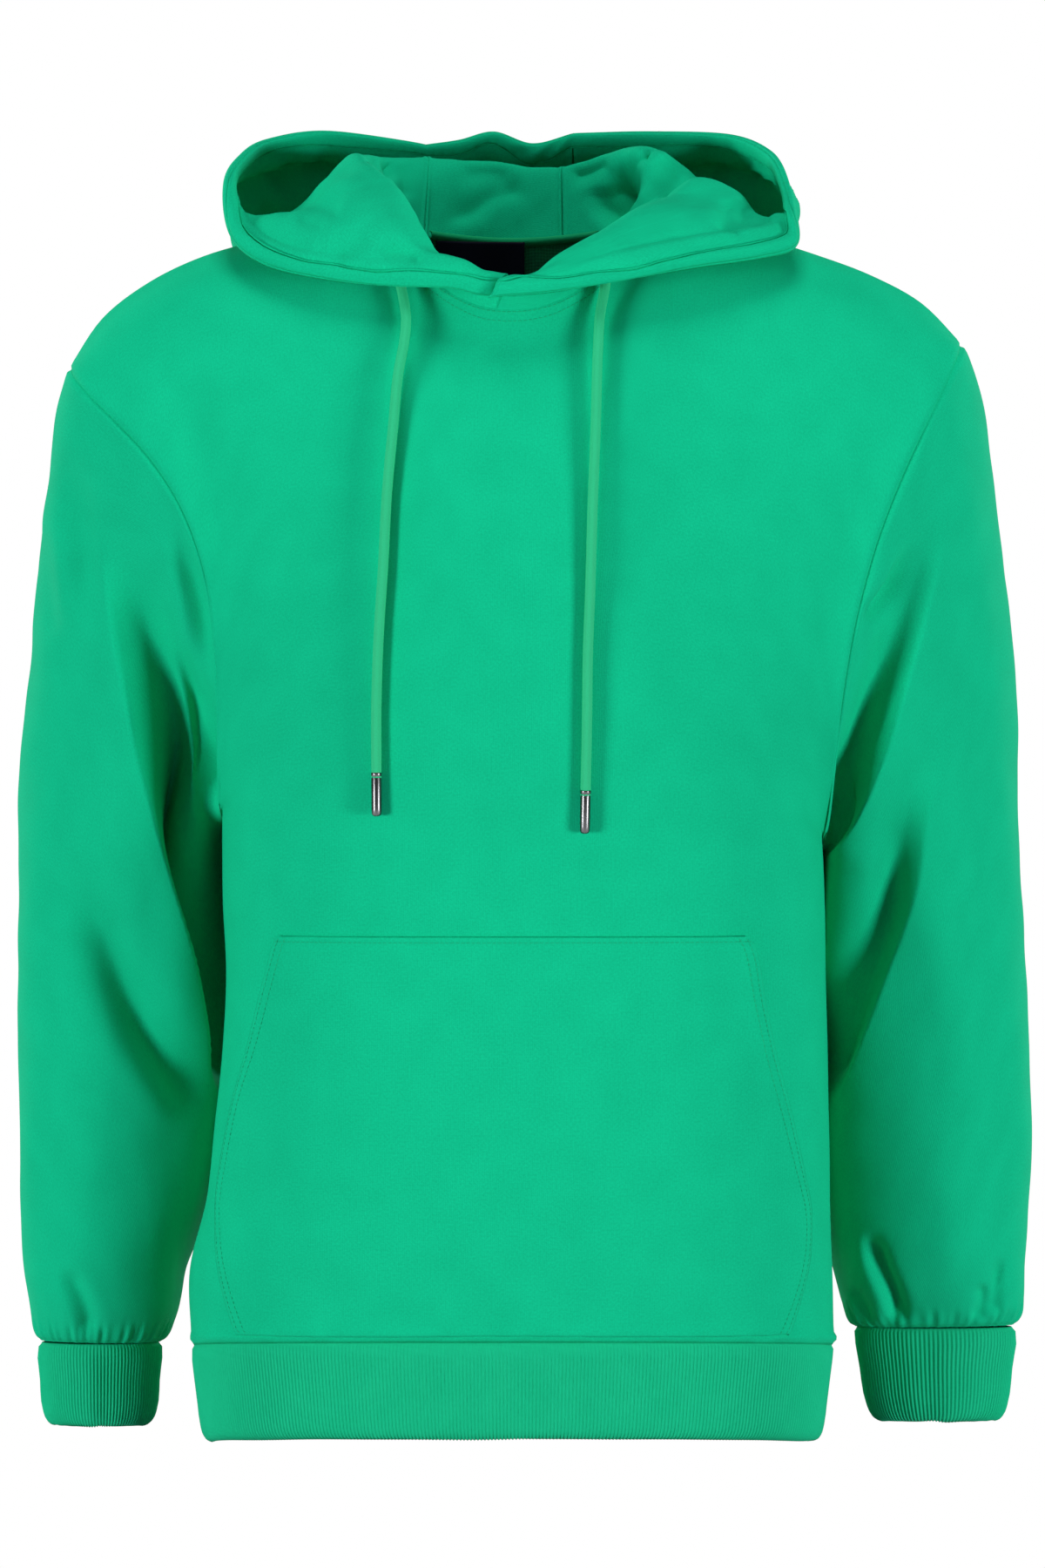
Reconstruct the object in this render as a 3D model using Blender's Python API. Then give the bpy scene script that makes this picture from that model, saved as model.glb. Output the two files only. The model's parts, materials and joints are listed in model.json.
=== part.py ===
"""A hooded pullover sweatshirt, worn and filled out, as true-shape cloth pieces.

The frame: +Z up, the front faces -Y, and the wearer's left is +X. The origin
is the middle of the neck at the height of the shoulders beside it, which is
where the wearer's shoulders hold the garment. Tables are in millimetres.
"""

import bpy
import numpy as np
from mathutils import Vector
from mathutils.bvhtree import BVHTree

MM = 0.001
SHARP_ANGLE = np.radians(50)
CLOTH = 1.6
RIB_WALL = 2.6
HOOD_WALL = 3.0
SEAM_GAP = 0.3
HALF_GAP = SEAM_GAP / 2 + 0.02
ARMHOLE_GAP = 1.5 * HALF_GAP
CORD_RADIUS = 3.0
TIP_RADIUS = 2.6

LOW_ROWS = 7
UP_ROWS = 11
SHOULDER_COLUMNS = 6
NECK_COLUMNS = 12
SLEEVE_RINGS = 15
HOOD_ROW_ANGLE = 7.5
# Columns from one place in a hood profile to the next, from the neck seam to the rim.
HOOD_SPANS = (2, 2, 3, 3, 2)
CORD_STEPS = 18
HEM_RIBS_PER_COLUMN = 10
CUFF_RIBS_PER_COLUMN = 5
RIB_HEIGHT = 0.55

# The neck seam: half width, front depth, back depth.
NECK_HALF = 78.0
NECK_FRONT = 83.0
NECK_BACK = 75.0

TORSO_MIDDLE = (5.0, 0.0, -350.0)

# Angle round the neck from the front, and the height of the seam there.
NECK_HEIGHT = (
    (0, -61), (15, -59), (30, -50), (45, -38), (60, -25), (75, -13), (90, -5),
    (105, -6), (120, -9), (150, -13), (180, -15), (210, -13), (240, -9),
    (255, -6), (270, -5), (285, -12), (300, -24), (315, -37), (330, -49),
    (345, -58), (360, -61),
)

# Height, x of the wearer's right edge, x of the wearer's left edge.
TORSO_EDGES = (
    (-350, -170.5, 181.0), (-360, -170.5, 181.0), (-373, -170.3, 181.4),
    (-415, -170.0, 182.0), (-467, -167.5, 183.0), (-515, -173.0, 184.0),
    (-566, -176.5, 184.5), (-597, -184.0, 185.0), (-623, -190.0, 186.0),
    (-644, -190.5, 187.5), (-665, -188.5, 187.5),
)

# Height, y of the side seam, y of the middle front, y of the middle back.
TORSO_DEPTHS = (
    (-350, 5, -128, 118), (-415, 4, -130, 114), (-500, 2, -130, 110),
    (-600, 0, -126, 107), (-665, 0, -119, 104),
)

HEM_SIDE = -665.0
HEM_LIFT = 9.0
UNDERARM_RIGHT = -358.0
UNDERARM_LEFT = -373.0
FRONT_POWER = 2.6
BACK_POWER = 2.1

# Share of the way from underarm to neck, and the y of the middle there.
FRONT_MIDDLE = (
    (0.0, -128), (0.25, -133), (0.5, -131), (0.75, -114), (0.9, -97), (1.0, -83),
)
BACK_MIDDLE = (
    (0.0, 118), (0.25, 122), (0.5, 119), (0.75, 106), (0.9, 90), (1.0, 75),
)

# Shoulder seams from the sleeve to the neck: x, z.
SHOULDER_RIGHT = (
    (-261, -93), (-254, -80), (-244, -66), (-224, -49), (-198, -33),
    (-170, -23), (-120, -12), (-78, -5),
)
SHOULDER_LEFT = (
    (263, -79), (257, -69), (244, -58), (227, -46), (190, -31),
    (169, -23), (120, -11), (78, -5),
)

# Armholes: centre, towards the shoulder, towards the front, inward at mid.
ARMHOLE_RIGHT = (
    (-215.75, 2.5, -225.5), (-45.25, -2.5, 132.5), (0, -82, 0), (31, 0, 29),
)
ARMHOLE_LEFT = (
    (222.0, 2.5, -226.0), (41.0, -2.5, 147.0), (0, -82, 0), (-17, 0, 11),
)

# Sleeves: outer z, outer x, inner z, inner x, middle y, half depth.
SLEEVE_RIGHT = (
    (-93, -261, -358, -170.5, 2, 82), (-126, -269, -364, -172, 10, 80),
    (-160, -273, -373, -172, 18, 78), (-198, -279, -388, -171, 26, 75),
    (-240, -284, -408, -169, 34, 72), (-284, -287, -430, -167, 40, 70),
    (-328, -291, -454, -165, 44, 67), (-374, -293, -480, -165, 46, 65),
    (-420, -293, -508, -166, 47, 62), (-466, -293, -536, -168, 47, 60),
    (-510, -293, -562, -172, 47, 58), (-548, -292, -586, -179, 46, 56),
    (-580, -291, -606, -187, 45, 54), (-606, -290, -622, -193, 44, 52),
    (-628, -289, -637, -196, 43, 48), (-645, -286, -649, -199, 42, 42),
    (-658, -283, -659, -203, 41, 34), (-665, -280, -666, -208, 40, 27),
)
SLEEVE_LEFT = (
    (-79, 263, -373, 181.0, 2, 82), (-110, 274, -378, 182.5, 10, 80),
    (-146, 281, -386, 183, 18, 78), (-186, 287, -400, 182, 26, 75),
    (-228, 292, -418, 180, 34, 72), (-274, 296, -439, 178, 40, 70),
    (-320, 298, -462, 176, 44, 67), (-366, 300, -487, 175, 46, 65),
    (-412, 302, -513, 175, 47, 62), (-458, 303.5, -540, 176, 47, 60),
    (-502, 305, -565, 178, 47, 58), (-540, 306, -587, 181, 46, 56),
    (-572, 305.5, -606, 184, 45, 53), (-598, 304, -621, 187, 44, 49),
    (-620, 303, -634, 190, 43, 43), (-636, 302, -644, 193, 42, 36),
    (-648, 300, -652, 197, 41, 29), (-656, 295.5, -657, 201, 40, 22.5),
)

# Cuffs: height of the ring, x of the outer and inner sides, half depth. The
# ribs run from the second ring to the third.
CUFF_RIGHT = (
    (-665.5, -280, -208, 27), (-668.5, -280.4, -207.6, 27.2), (-706, -277.5, -210.5, 26),
    (-711, -275.5, -212.5, 24.5), (-714, -272.5, -215.5, 22),
)
CUFF_LEFT = (
    (-656.5, 295.5, 201, 22.5), (-659.5, 296, 201, 22.7), (-702, 291, 207.5, 21.5),
    (-708, 288.5, 210.5, 20), (-711.5, 285, 214, 17.5),
)

# Hem rib: drop below the seam, inset of the sides, inset of front and back.
HEM_RIB = (
    (0.0, 0.0, 0.0), (2.5, 0.3, 0.2), (48.0, 6.0, 6.5), (53.5, 8.5, 9.0),
    (56.0, 12.0, 12.0),
)

# Sleeve folds: depth, half width, then x and z along the trough as seen from
# the front. The back of each sleeve has the same, a little lower.
FOLDS_RIGHT = (
    (11, 17, (-253, -128), (-241, -179), (-233, -211), (-224, -275), (-207, -343),
     (-184, -432), (-174, -470)),
    (6, 15, (-199, -284), (-183, -326), (-170, -372)),
    (4, 15, (-199, -181), (-193, -206), (-184, -232)),
    (6, 18, (-265, -377), (-245, -424), (-228, -462), (-206, -500), (-178, -559)),
)
FOLDS_LEFT = (
    (12, 18, (256, -167), (248, -198), (238, -232), (217, -286), (200, -343),
     (183, -378)),
    (4, 15, (229, -207), (217, -227), (208, -240)),
    (8, 17, (260, -292), (246, -343), (233, -394), (224, -419), (209, -465),
     (184, -512)),
    (5, 13, (206, -601), (214, -621), (221, -637), (225, -651)),
)

# Hood profiles: angle round the neck, then x, y, z of crest, inner layer,
# sack bottom, outer layer and rim.
HOOD_RIGHT = (
    (7.5, -13, -85, -46.5, -16, -87, -44.5, -18, -89, -46, -19, -90, -50, -20, -90, -55.5),
    (15, -23, -82, -41.5, -27, -86, -38.5, -30, -88, -40.5, -33, -89, -45, -34, -89, -52),
    (26, -43, -71, -34, -52, -77, -30, -60, -81, -34, -66, -83, -41, -70, -82, -50),
    (42, -56, -53, -15, -72, -60, -12, -88, -67, -20, -100, -72, -31, -108, -74, -46),
    (58, -69, -29, 6, -88, -36, 6, -108, -43, -5, -127, -51, -17, -143, -57, -37),
    (74, -84, -4, 22, -102, -8, 15, -125, -14, -5, -147, -26, -7, -164, -38, -20),
    (93, -96, 30, 31, -112, 32, 14, -135, 28, -10, -158, 10, -6, -170, -5, 15),
    (108, -93, 47, 32, -110, 62, 5, -136, 76, -45, -165, 62, -20, -163, 33, 33),
    (122, -84, 64, 33, -98, 90, -15, -118, 122, -105, -150, 128, -60, -147, 78, 47),
    (134, -70, 80, 33, -82, 108, -40, -94, 145, -158, -120, 170, -95, -113, 118, 55),
    (145, -56, 90, 34, -60, 116, -60, -64, 152, -187, -72, 186, -110, -66, 143, 51),
    (150, -52, 93, 34, -52, 117, -64, -53, 154, -192, -54, 188, -114, -53, 148, 49),
)
HOOD_CENTER = (
    (150, -52, 93, 34, -52, 117, -64, -53, 154, -192, -54, 188, -114, -53, 148, 49),
    (163, -33, 98, 33, -33, 119, -68, -33, 156, -196, -33, 191, -117, -33, 150, 52),
    (176, -12, 100, 32, -12, 120, -70, -12, 157, -198, -12, 192, -118, -12, 151, 57),
    (189, 9, 99, 29, 10, 120, -69, 10, 157, -196, 11, 191, -117, 11, 152, 50),
    (202.5, 29, 96, 28, 30, 118, -66, 31, 155, -193, 33, 189, -114, 36, 150, 56),
)
HOOD_LEFT = (
    (202.5, 29, 96, 28, 30, 118, -66, 31, 155, -193, 33, 189, -114, 36, 150, 56),
    (216, 56, 88, 36, 64, 112, -55, 72, 150, -182, 82, 182, -105, 82, 136, 56),
    (230, 84, 75, 38, 95, 100, -30, 108, 135, -140, 137, 155, -80, 131, 98, 51),
    (243, 110, 60, 27, 122, 82, -10, 135, 102, -80, 162, 100, -40, 154, 54, 37),
    (256, 124, 38, 20, 134, 46, 6, 147, 54, -25, 166, 40, -5, 160, 15, 19),
    (267, 118, 14, 15, 130, 14, 8, 145, 8, -8, 158, -8, -6, 165, -22, -3),
    (286, 93, -17, 4, 112, -18, 1, 132, -24, -7, 150, -34, -13, 163, -44, -26),
    (301, 68, -45, -8, 90, -47, -5, 112, -50, -12, 129, -55, -20, 142, -58, -33),
    (316, 46, -65, -23, 66, -66, -17, 82, -69, -22, 96, -72, -29, 106, -73, -39),
    (332, 26, -80, -35, 40, -84, -32, 50, -86, -36, 60, -86, -41, 67, -84, -46),
    (350, 6, -89, -49, 9, -91.5, -46, 12, -93.5, -47.5, 15, -94.5, -51, 17, -95, -55),
    (360, -4, -89, -49, -3, -92.5, -46.5, -3, -95, -48.5, -3, -96, -52, -3, -96.5, -56.5),
    (367.5, -12, -89, -49, -14, -92.5, -47, -17, -95.5, -49, -18.5, -97, -53, -19, -97.5, -58.5),
)

HOOD_CLEARANCE = 1.5
NECK_GAP = 0.65

# Pocket: height, x of the wearer's right edge, x of the wearer's left edge.
POCKET = (
    (-424, -134.5, 133.5), (-430, -136, 136), (-461, -144, 142), (-490, -151, 148),
    (-523, -160, 156.5), (-560, -167, 164.5), (-588, -171, 170.5), (-610, -170.5, 170),
    (-636, -165, 164), (-654, -159, 158),
)
POCKET_ROWS = 10
POCKET_COLUMNS = 14
POCKET_BELLY = 2.2
POCKET_CLEARANCE = 1.1

# Cords: x and z of each route, as seen from the front.
CORD_RIGHT = (
    (-64, -56), (-61.5, -66), (-62.5, -80), (-66, -100), (-69, -132), (-72.5, -172),
    (-74.5, -212), (-77, -252), (-78.3, -292), (-78.3, -333),
)
CORD_LEFT = (
    (52, -55), (50, -64), (48.5, -85), (47, -130), (45, -180), (43.5, -230),
    (42.3, -262), (41.8, -300), (41, -343),
)
CORD_CLEARANCE = 0.8
TIP_LENGTH = 22.0
TIP_SIDES = 12

# The tape over the back neck seam, and the label below it.
TAPE_START = 140
TAPE_END = 216
TAPE_WALL = 0.9
TAPE_HALF_HEIGHT = 4.5
TRIM_GAP = 0.1
LABEL_WALL = 0.8
LABEL_DEPTH = 6.4

LABEL_MIDDLE = -19.7
LABEL_WIDTH = 52.0
LABEL_TOP = -15.0
LABEL_BOTTOM = -37.0


def clear_scene():
    """Removes every object that the scene starts with."""
    for obj in list(bpy.data.objects):
        bpy.data.objects.remove(obj)


def smooth(at, table):
    """Reads a table of (key, values...) at `at` along smooth curves through it."""
    table = np.array(table, float)
    if table[0, 0] > table[-1, 0]:
        table = table[::-1]
    keys = table[:, 0]
    values = table[:, 1:]
    steps = np.diff(keys)
    slopes = np.diff(values, axis=0) / steps[:, None]
    tangents = np.empty_like(values)
    tangents[1:-1] = (slopes[1:] * steps[:-1, None] + slopes[:-1] * steps[1:, None])
    tangents[1:-1] /= (steps[1:] + steps[:-1])[:, None]
    tangents[0] = slopes[0]
    tangents[-1] = slopes[-1]
    at = np.clip(np.atleast_1d(np.asarray(at, float)), keys[0], keys[-1])
    low = np.clip(np.searchsorted(keys, at, side="right") - 1, 0, len(keys) - 2)
    step = steps[low][:, None]
    t = (at - keys[low])[:, None] / step
    first = values[low] * (2 * t**3 - 3 * t**2 + 1)
    second = values[low + 1] * (3 * t**2 - 2 * t**3)
    bend = tangents[low] * (t**3 - 2 * t**2 + t) * step
    return first + second + bend + tangents[low + 1] * (t**3 - t**2) * step


def lengths_along(points):
    """The distance along a line of points to each of them."""
    steps = np.linalg.norm(np.diff(points, axis=0), axis=1)
    return np.concatenate([[0.0], np.cumsum(steps)])


def resample(points, count):
    """`count` points spread evenly along a line of points."""
    points = np.asarray(points, float)
    along = lengths_along(points)
    at = np.linspace(0, along[-1], count)
    return np.stack([np.interp(at, along, points[:, k]) for k in range(3)], axis=1)


def curve_through(points, count):
    """`count` points spread evenly along a smooth curve through `points`."""
    points = np.asarray(points, float)
    along = lengths_along(points)
    table = np.column_stack([along, points])
    return resample(smooth(np.linspace(0, along[-1], 240), table), count)


def ease(x):
    """Rises smoothly from 0 to 1 as x does."""
    x = np.clip(x, 0, 1)
    return x * x * (3 - 2 * x)


def unit(vectors):
    """The vectors at length 1."""
    length = np.linalg.norm(vectors, axis=-1, keepdims=True)
    return vectors / np.maximum(length, 1e-9)


def neck_corners():
    """The corners of the neck seam, one for each neck column of the panels."""
    angles = np.arange(0, 361, 180 // NECK_COLUMNS)
    turn = np.radians(angles)
    depth = np.where(np.cos(turn) > 0, NECK_FRONT, NECK_BACK)
    height = smooth(angles, NECK_HEIGHT)[:, 0]
    return np.stack([-NECK_HALF * np.sin(turn), -depth * np.cos(turn), height], axis=1)


def neck_point(angle):
    """A point on the neck seam at an angle in degrees from the front."""
    corners = neck_corners()
    at = (angle % 360) / (180 // NECK_COLUMNS)
    low = int(np.floor(at + 1e-9))
    share = at - low
    return corners[low] * (1 - share) + corners[(low + 1) % 24] * share


def armhole(table, turn):
    """A point on an armhole: turn 0 at the shoulder, pi at the underarm."""
    centre, up, front, inward = (np.array(row, float) for row in table)
    point = centre + np.cos(turn) * up + np.sin(turn) * front
    return point + abs(np.sin(turn)) ** 3 * inward


def half_ring(side, right_z, left_z, lift, count):
    """The front (-1) or back (+1) half of the torso's ring between two heights."""
    right_x = smooth(right_z, TORSO_EDGES)[0, 0]
    left_x = smooth(left_z, TORSO_EDGES)[0, 1]
    seam_y, front_y, back_y = smooth((right_z + left_z) / 2, TORSO_DEPTHS)[0]
    power = FRONT_POWER if side < 0 else BACK_POWER
    depth = (front_y if side < 0 else back_y) - seam_y
    turn = np.linspace(0, np.pi, 181)
    across = -np.sign(np.cos(turn)) * abs(np.cos(turn)) ** (2 / power)
    out = abs(np.sin(turn)) ** (2 / power)
    x = (right_x + left_x) / 2 + (left_x - right_x) / 2 * across
    z = (right_z + left_z) / 2 + (left_z - right_z) / 2 * across + lift * out
    return resample(np.stack([x, seam_y + depth * out, z], axis=1), count)


def top_line(side):
    """Shoulder seam, half of the neck seam, and the other shoulder seam."""
    right = np.array([(x, 0, z) for x, z in SHOULDER_RIGHT], float)
    left = np.array([(x, 0, z) for x, z in SHOULDER_LEFT], float)
    right = curve_through(right, SHOULDER_COLUMNS + 1)
    left = curve_through(left, SHOULDER_COLUMNS + 1)[::-1]
    corners = neck_corners()
    if side < 0:
        neck = np.concatenate([corners[6::-1], corners[23:17:-1]])
    else:
        neck = corners[6:19]
    return np.concatenate([right[:-1], neck, left[1:]])


def panel(side):
    """The outer skin of the front (-1) or back (+1), rows up from the hem."""
    columns = 2 * SHOULDER_COLUMNS + NECK_COLUMNS + 1
    rows = []
    for row in range(LOW_ROWS):
        share = row / LOW_ROWS
        right_z = HEM_SIDE + (UNDERARM_RIGHT - HEM_SIDE) * share
        left_z = HEM_SIDE + (UNDERARM_LEFT - HEM_SIDE) * share
        lift = HEM_LIFT * (1 - share) ** 2 if side < 0 else -2 * (1 - share)
        rows.append(half_ring(side, right_z, left_z, lift, columns))
    base = half_ring(side, UNDERARM_RIGHT, UNDERARM_LEFT, 0, columns)
    top = top_line(side)
    across = np.linspace(-1, 1, columns)
    shoulder = ease((abs(across) - 0.12) / 0.4)
    middle_table = FRONT_MIDDLE if side < 0 else BACK_MIDDLE
    for row in range(UP_ROWS + 1):
        share = row / UP_ROWS
        turn = np.pi * (1 - share)
        right = armhole(ARMHOLE_RIGHT, -side * turn)
        left = armhole(ARMHOLE_LEFT, -side * turn)
        rise = share * (1 - shoulder) + np.sin(np.pi / 2 * share) * shoulder
        plain = base * (1 - rise[:, None]) + top * rise[:, None]
        pull_right = ((1 - across) / 2) ** 4
        pull_left = ((1 + across) / 2) ** 4
        points = plain + pull_right[:, None] * (right - plain[0])
        points += pull_left[:, None] * (left - plain[-1])
        middle = smooth(share, middle_table)[0, 0]
        edge = right[1] * (1 - across) / 2 + left[1] * (1 + across) / 2
        bow = 1 - abs(across) ** (2.4 - 0.4 * share)
        y = edge + (middle - edge) * bow
        from_base = (1 - share) ** 3
        to_top = share**6 * (1 - shoulder) + share**2 * shoulder
        centre_y = base[columns // 2, 1]
        y = (1 - from_base) * y + from_base * (base[:, 1] + (middle - centre_y) * bow)
        y = (1 - to_top) * y + to_top * top[:, 1]
        y = y + pull_right * (right[1] - y[0]) + pull_left * (left[1] - y[-1])
        points[:, 1] = y
        rows.append(points)
    rows = np.array(rows)
    for _ in range(3):
        inside = rows[LOW_ROWS + 1:-1]
        inside[:, 1:-1] = inside[:, 1:-1] / 2 + (inside[:, :-2] + inside[:, 2:]) / 4
    return rows


def tube_ring(row, turns):
    """A sleeve's plain ring: outer z, outer x, inner z, inner x, middle y, depth."""
    outer_z, outer_x, inner_z, inner_x, middle_y, depth = row
    reach = np.cos(turns)
    x = (outer_x + inner_x) / 2 + (outer_x - inner_x) / 2 * reach
    z = (outer_z + inner_z) / 2 + (outer_z - inner_z) / 2 * reach
    return np.stack([x, middle_y - depth * np.sin(turns), z], axis=1)


def fold_depth(folds, x, z):
    """How deep the folds are at a point, as seen from the front or the back."""
    total = 0.0
    for depth, half_width, *line in folds:
        line = np.array(line, float)
        first = line[:-1]
        along = line[1:] - first
        away = np.array([x, z]) - first
        share = (away * along).sum(axis=1) / (along**2).sum(axis=1)
        near = first + along * np.clip(share, 0, 1)[:, None]
        distance = np.linalg.norm(np.array([x, z]) - near, axis=1).min()
        total += depth * np.exp(-((distance / half_width) ** 2))
    return total


def sleeve(table, hole, folds, tree):
    """A sleeve's outer skin: rings from the armhole to the cuff seam."""
    turns = np.arange(2 * UP_ROWS) * np.pi / UP_ROWS
    seam = np.array([armhole(hole, turn) for turn in turns])
    stations = np.column_stack([np.arange(len(table)), np.array(table, float)])
    start = tube_ring(table[0], turns)
    rings = []
    for share in np.linspace(0, 1, SLEEVE_RINGS):
        row = smooth(share * (len(table) - 1), stations)[0]
        tube = tube_ring(row, turns)
        blend = ease(share / 0.3)
        rings.append(tube + (seam - start) * (1 - blend))
    rings = np.array(rings)
    normals = away_normals(rings, True)
    for i in range(1, SLEEVE_RINGS - 1):
        fade = min(1.0, i / 2) * min(1.0, (SLEEVE_RINGS - 1 - i) / 2)
        for j, normal in enumerate(normals[i]):
            x, _, z = rings[i, j]
            level = z if normal[1] < 0 else z + 25
            depth = fold_depth(folds, x, level) * abs(normal[1]) ** 0.5
            rings[i, j] -= normal * depth * fade
    body_side = np.cos(turns) < 0.3
    for first, last, clearance in ((1, 2, 0.8), (2, 3, 1.6), (3, SLEEVE_RINGS, 2.6)):
        moved = pushed_clear(rings[first:last], tree, clearance)
        rings[first:last, body_side] = moved[:, body_side]
    return rings


def hole_axis(hole):
    """The way through an armhole, from the body into the sleeve."""
    axis = unit(np.cross(np.array(hole[1], float), np.array(hole[2], float)))
    return axis * np.sign(hole[0][0]) * np.sign(axis[0])


def ring_middle(rings):
    """The middle of each ring."""
    return rings.mean(axis=1, keepdims=True)


def away_normals(rings, wrap):
    """Normals of a tube's rings, pointing away from its middle."""
    normals = normals_of(rings, wrap)
    if ((rings - ring_middle(rings)) * normals).sum() < 0:
        normals = -normals
    return normals


def normals_of(grid, wrap):
    """Unit normals of a grid of points; `wrap` where its rows are rings."""
    down = np.gradient(grid, axis=0)
    if wrap:
        across = np.roll(grid, -1, axis=1) - np.roll(grid, 1, axis=1)
    else:
        across = np.gradient(grid, axis=1)
    return unit(np.cross(across, down))


def draw_in(skins):
    """Draws in a wall's first and last rows, for half of the gap at each seam."""
    for skin in skins:
        for edge, inside in ((0, 1), (-1, -2)):
            inward = (skin[inside] - skin[edge]) * (1, 1, 0)
            skin[edge] += unit(inward) * HALF_GAP


def wall_mesh(name, outer, inner, wrap):
    """A closed wall from its two skins, each a grid of points in millimetres."""
    rows, columns = outer.shape[:2]
    points = np.concatenate([outer.reshape(-1, 3), inner.reshape(-1, 3)])
    half = rows * columns
    faces = []
    last = columns if wrap else columns - 1
    for i in range(rows - 1):
        for j in range(last):
            a = i * columns + j
            b = i * columns + (j + 1) % columns
            c = b + columns
            d = a + columns
            faces.append((a, b, c, d))
            faces.append((half + d, half + c, half + b, half + a))
    for j in range(last):
        a = j
        b = (j + 1) % columns
        faces.append((half + a, half + b, b, a))
        a += (rows - 1) * columns
        b += (rows - 1) * columns
        faces.append((b, half + b, half + a, a))
    if not wrap:
        for i in range(rows - 1):
            a = i * columns
            b = a + columns
            faces.append((a, b, half + b, half + a))
            a += columns - 1
            b += columns - 1
            faces.append((half + a, half + b, b, a))
    return mesh_object(name, points, faces)


def mesh_object(name, points, faces):
    """Makes an object from points in millimetres, its faces turned outward."""
    corners = []
    for face in faces:
        for k in range(1, len(face) - 1):
            corners.append((face[0], face[k], face[k + 1]))
    triangles = points[np.array(corners)]
    if np.linalg.det(triangles).sum() < 0:
        faces = [face[::-1] for face in faces]
    mesh = bpy.data.meshes.new(name)
    mesh.from_pydata([tuple(point * MM) for point in points], [], faces)
    mesh.shade_smooth()
    mesh.set_sharp_from_angle(angle=SHARP_ANGLE)
    obj = bpy.data.objects.new(name, mesh)
    bpy.context.scene.collection.objects.link(obj)
    return obj


def tree_of(objects):
    """A search tree over some mesh objects, in metres."""
    points = []
    faces = []
    for obj in objects:
        start = len(points)
        points.extend(vertex.co.copy() for vertex in obj.data.vertices)
        faces.extend([start + k for k in face.vertices] for face in obj.data.polygons)
    return BVHTree.FromPolygons(points, faces)


def front_depth(tree, x, z):
    """The y of the frontmost cloth at x, z, in millimetres."""
    start = Vector((x * MM, -0.4, z * MM))
    hit = tree.ray_cast(start, Vector((0, 1, 0)))
    return hit[0].y / MM, np.array(hit[1])


def pushed_clear(grid, tree, clearance):
    """Moves points of a grid out of the cloth below them."""
    moved = grid.copy()
    for index in np.ndindex(grid.shape[:2]):
        place = Vector(grid[index] * MM)
        found = tree.find_nearest(place)
        away = np.array(place - found[0]) / MM
        normal = np.array(found[1])
        distance = float(away @ normal)
        if distance < clearance and np.linalg.norm(away) < 40:
            moved[index] = grid[index] + normal * (clearance - distance)
    return moved


def hood_skin(table, start, end):
    """One hood panel's outside skin; rows round the neck, columns to the rim."""
    count = int(round((end - start) / HOOD_ROW_ANGLE)) + 1
    knots = np.concatenate([[0], np.cumsum(HOOD_SPANS)])
    rows = []
    for angle in np.linspace(start, end, count):
        places = smooth(angle, table)[0].reshape(-1, 3)
        profile = np.concatenate([[neck_point(angle)], places])
        along = lengths_along(profile)
        at = np.interp(np.arange(knots[-1] + 1), knots, along)
        rows.append(smooth(at, np.column_stack([along, profile])))
    return np.array(rows)


def tube_object(name, route, radius):
    """A round cord along a route in millimetres, with closed ends."""
    data = bpy.data.curves.new(name, "CURVE")
    data.dimensions = "3D"
    line = data.splines.new("POLY")
    line.points.add(len(route) - 1)
    for point, place in zip(line.points, route):
        point.co = (*(place * MM), 1.0)
    data.bevel_depth = radius * MM
    data.bevel_resolution = 2
    data.use_fill_caps = True
    obj = bpy.data.objects.new(name, data)
    bpy.context.scene.collection.objects.link(obj)
    return obj


def turned_object(name, top, direction, profile, sides):
    """A solid of revolution down `direction` from `top`: (drop, radius) pairs."""
    direction = unit(np.asarray(direction, float))
    side = unit(np.cross(direction, (0, 1, 0)))
    other = np.cross(direction, side)
    turns = np.arange(sides) * 2 * np.pi / sides
    points = []
    faces = []
    for drop, radius in profile:
        for turn in turns:
            around = np.cos(turn) * side + np.sin(turn) * other
            points.append(top + direction * drop + around * radius)
    for i in range(len(profile) - 1):
        for j in range(sides):
            a = i * sides + j
            b = i * sides + (j + 1) % sides
            faces.append((a, b, b + sides, a + sides))
    faces.append(tuple(range(sides))[::-1])
    faces.append(tuple((len(profile) - 1) * sides + k for k in range(sides)))
    return mesh_object(name, np.array(points), faces)


def material_for(obj, colour, roughness, metallic=0.0):
    """Gives an object its own plain material."""
    material = bpy.data.materials.new(obj.name)
    material.use_nodes = True
    shader = material.node_tree.nodes["Principled BSDF"]
    shader.inputs["Base Color"].default_value = (*colour, 1.0)
    shader.inputs["Roughness"].default_value = roughness
    shader.inputs["Metallic"].default_value = metallic
    obj.data.materials.append(material)


CLOTH_GREEN = (0.0, 0.46, 0.2)
RIB_GREEN = (0.0, 0.44, 0.19)
CORD_GREEN = (0.02, 0.52, 0.13)
TAPE_GREEN = (0.05, 0.55, 0.25)
LABEL_NAVY = (0.003, 0.005, 0.02)
GUNMETAL = (0.18, 0.18, 0.19)


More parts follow.
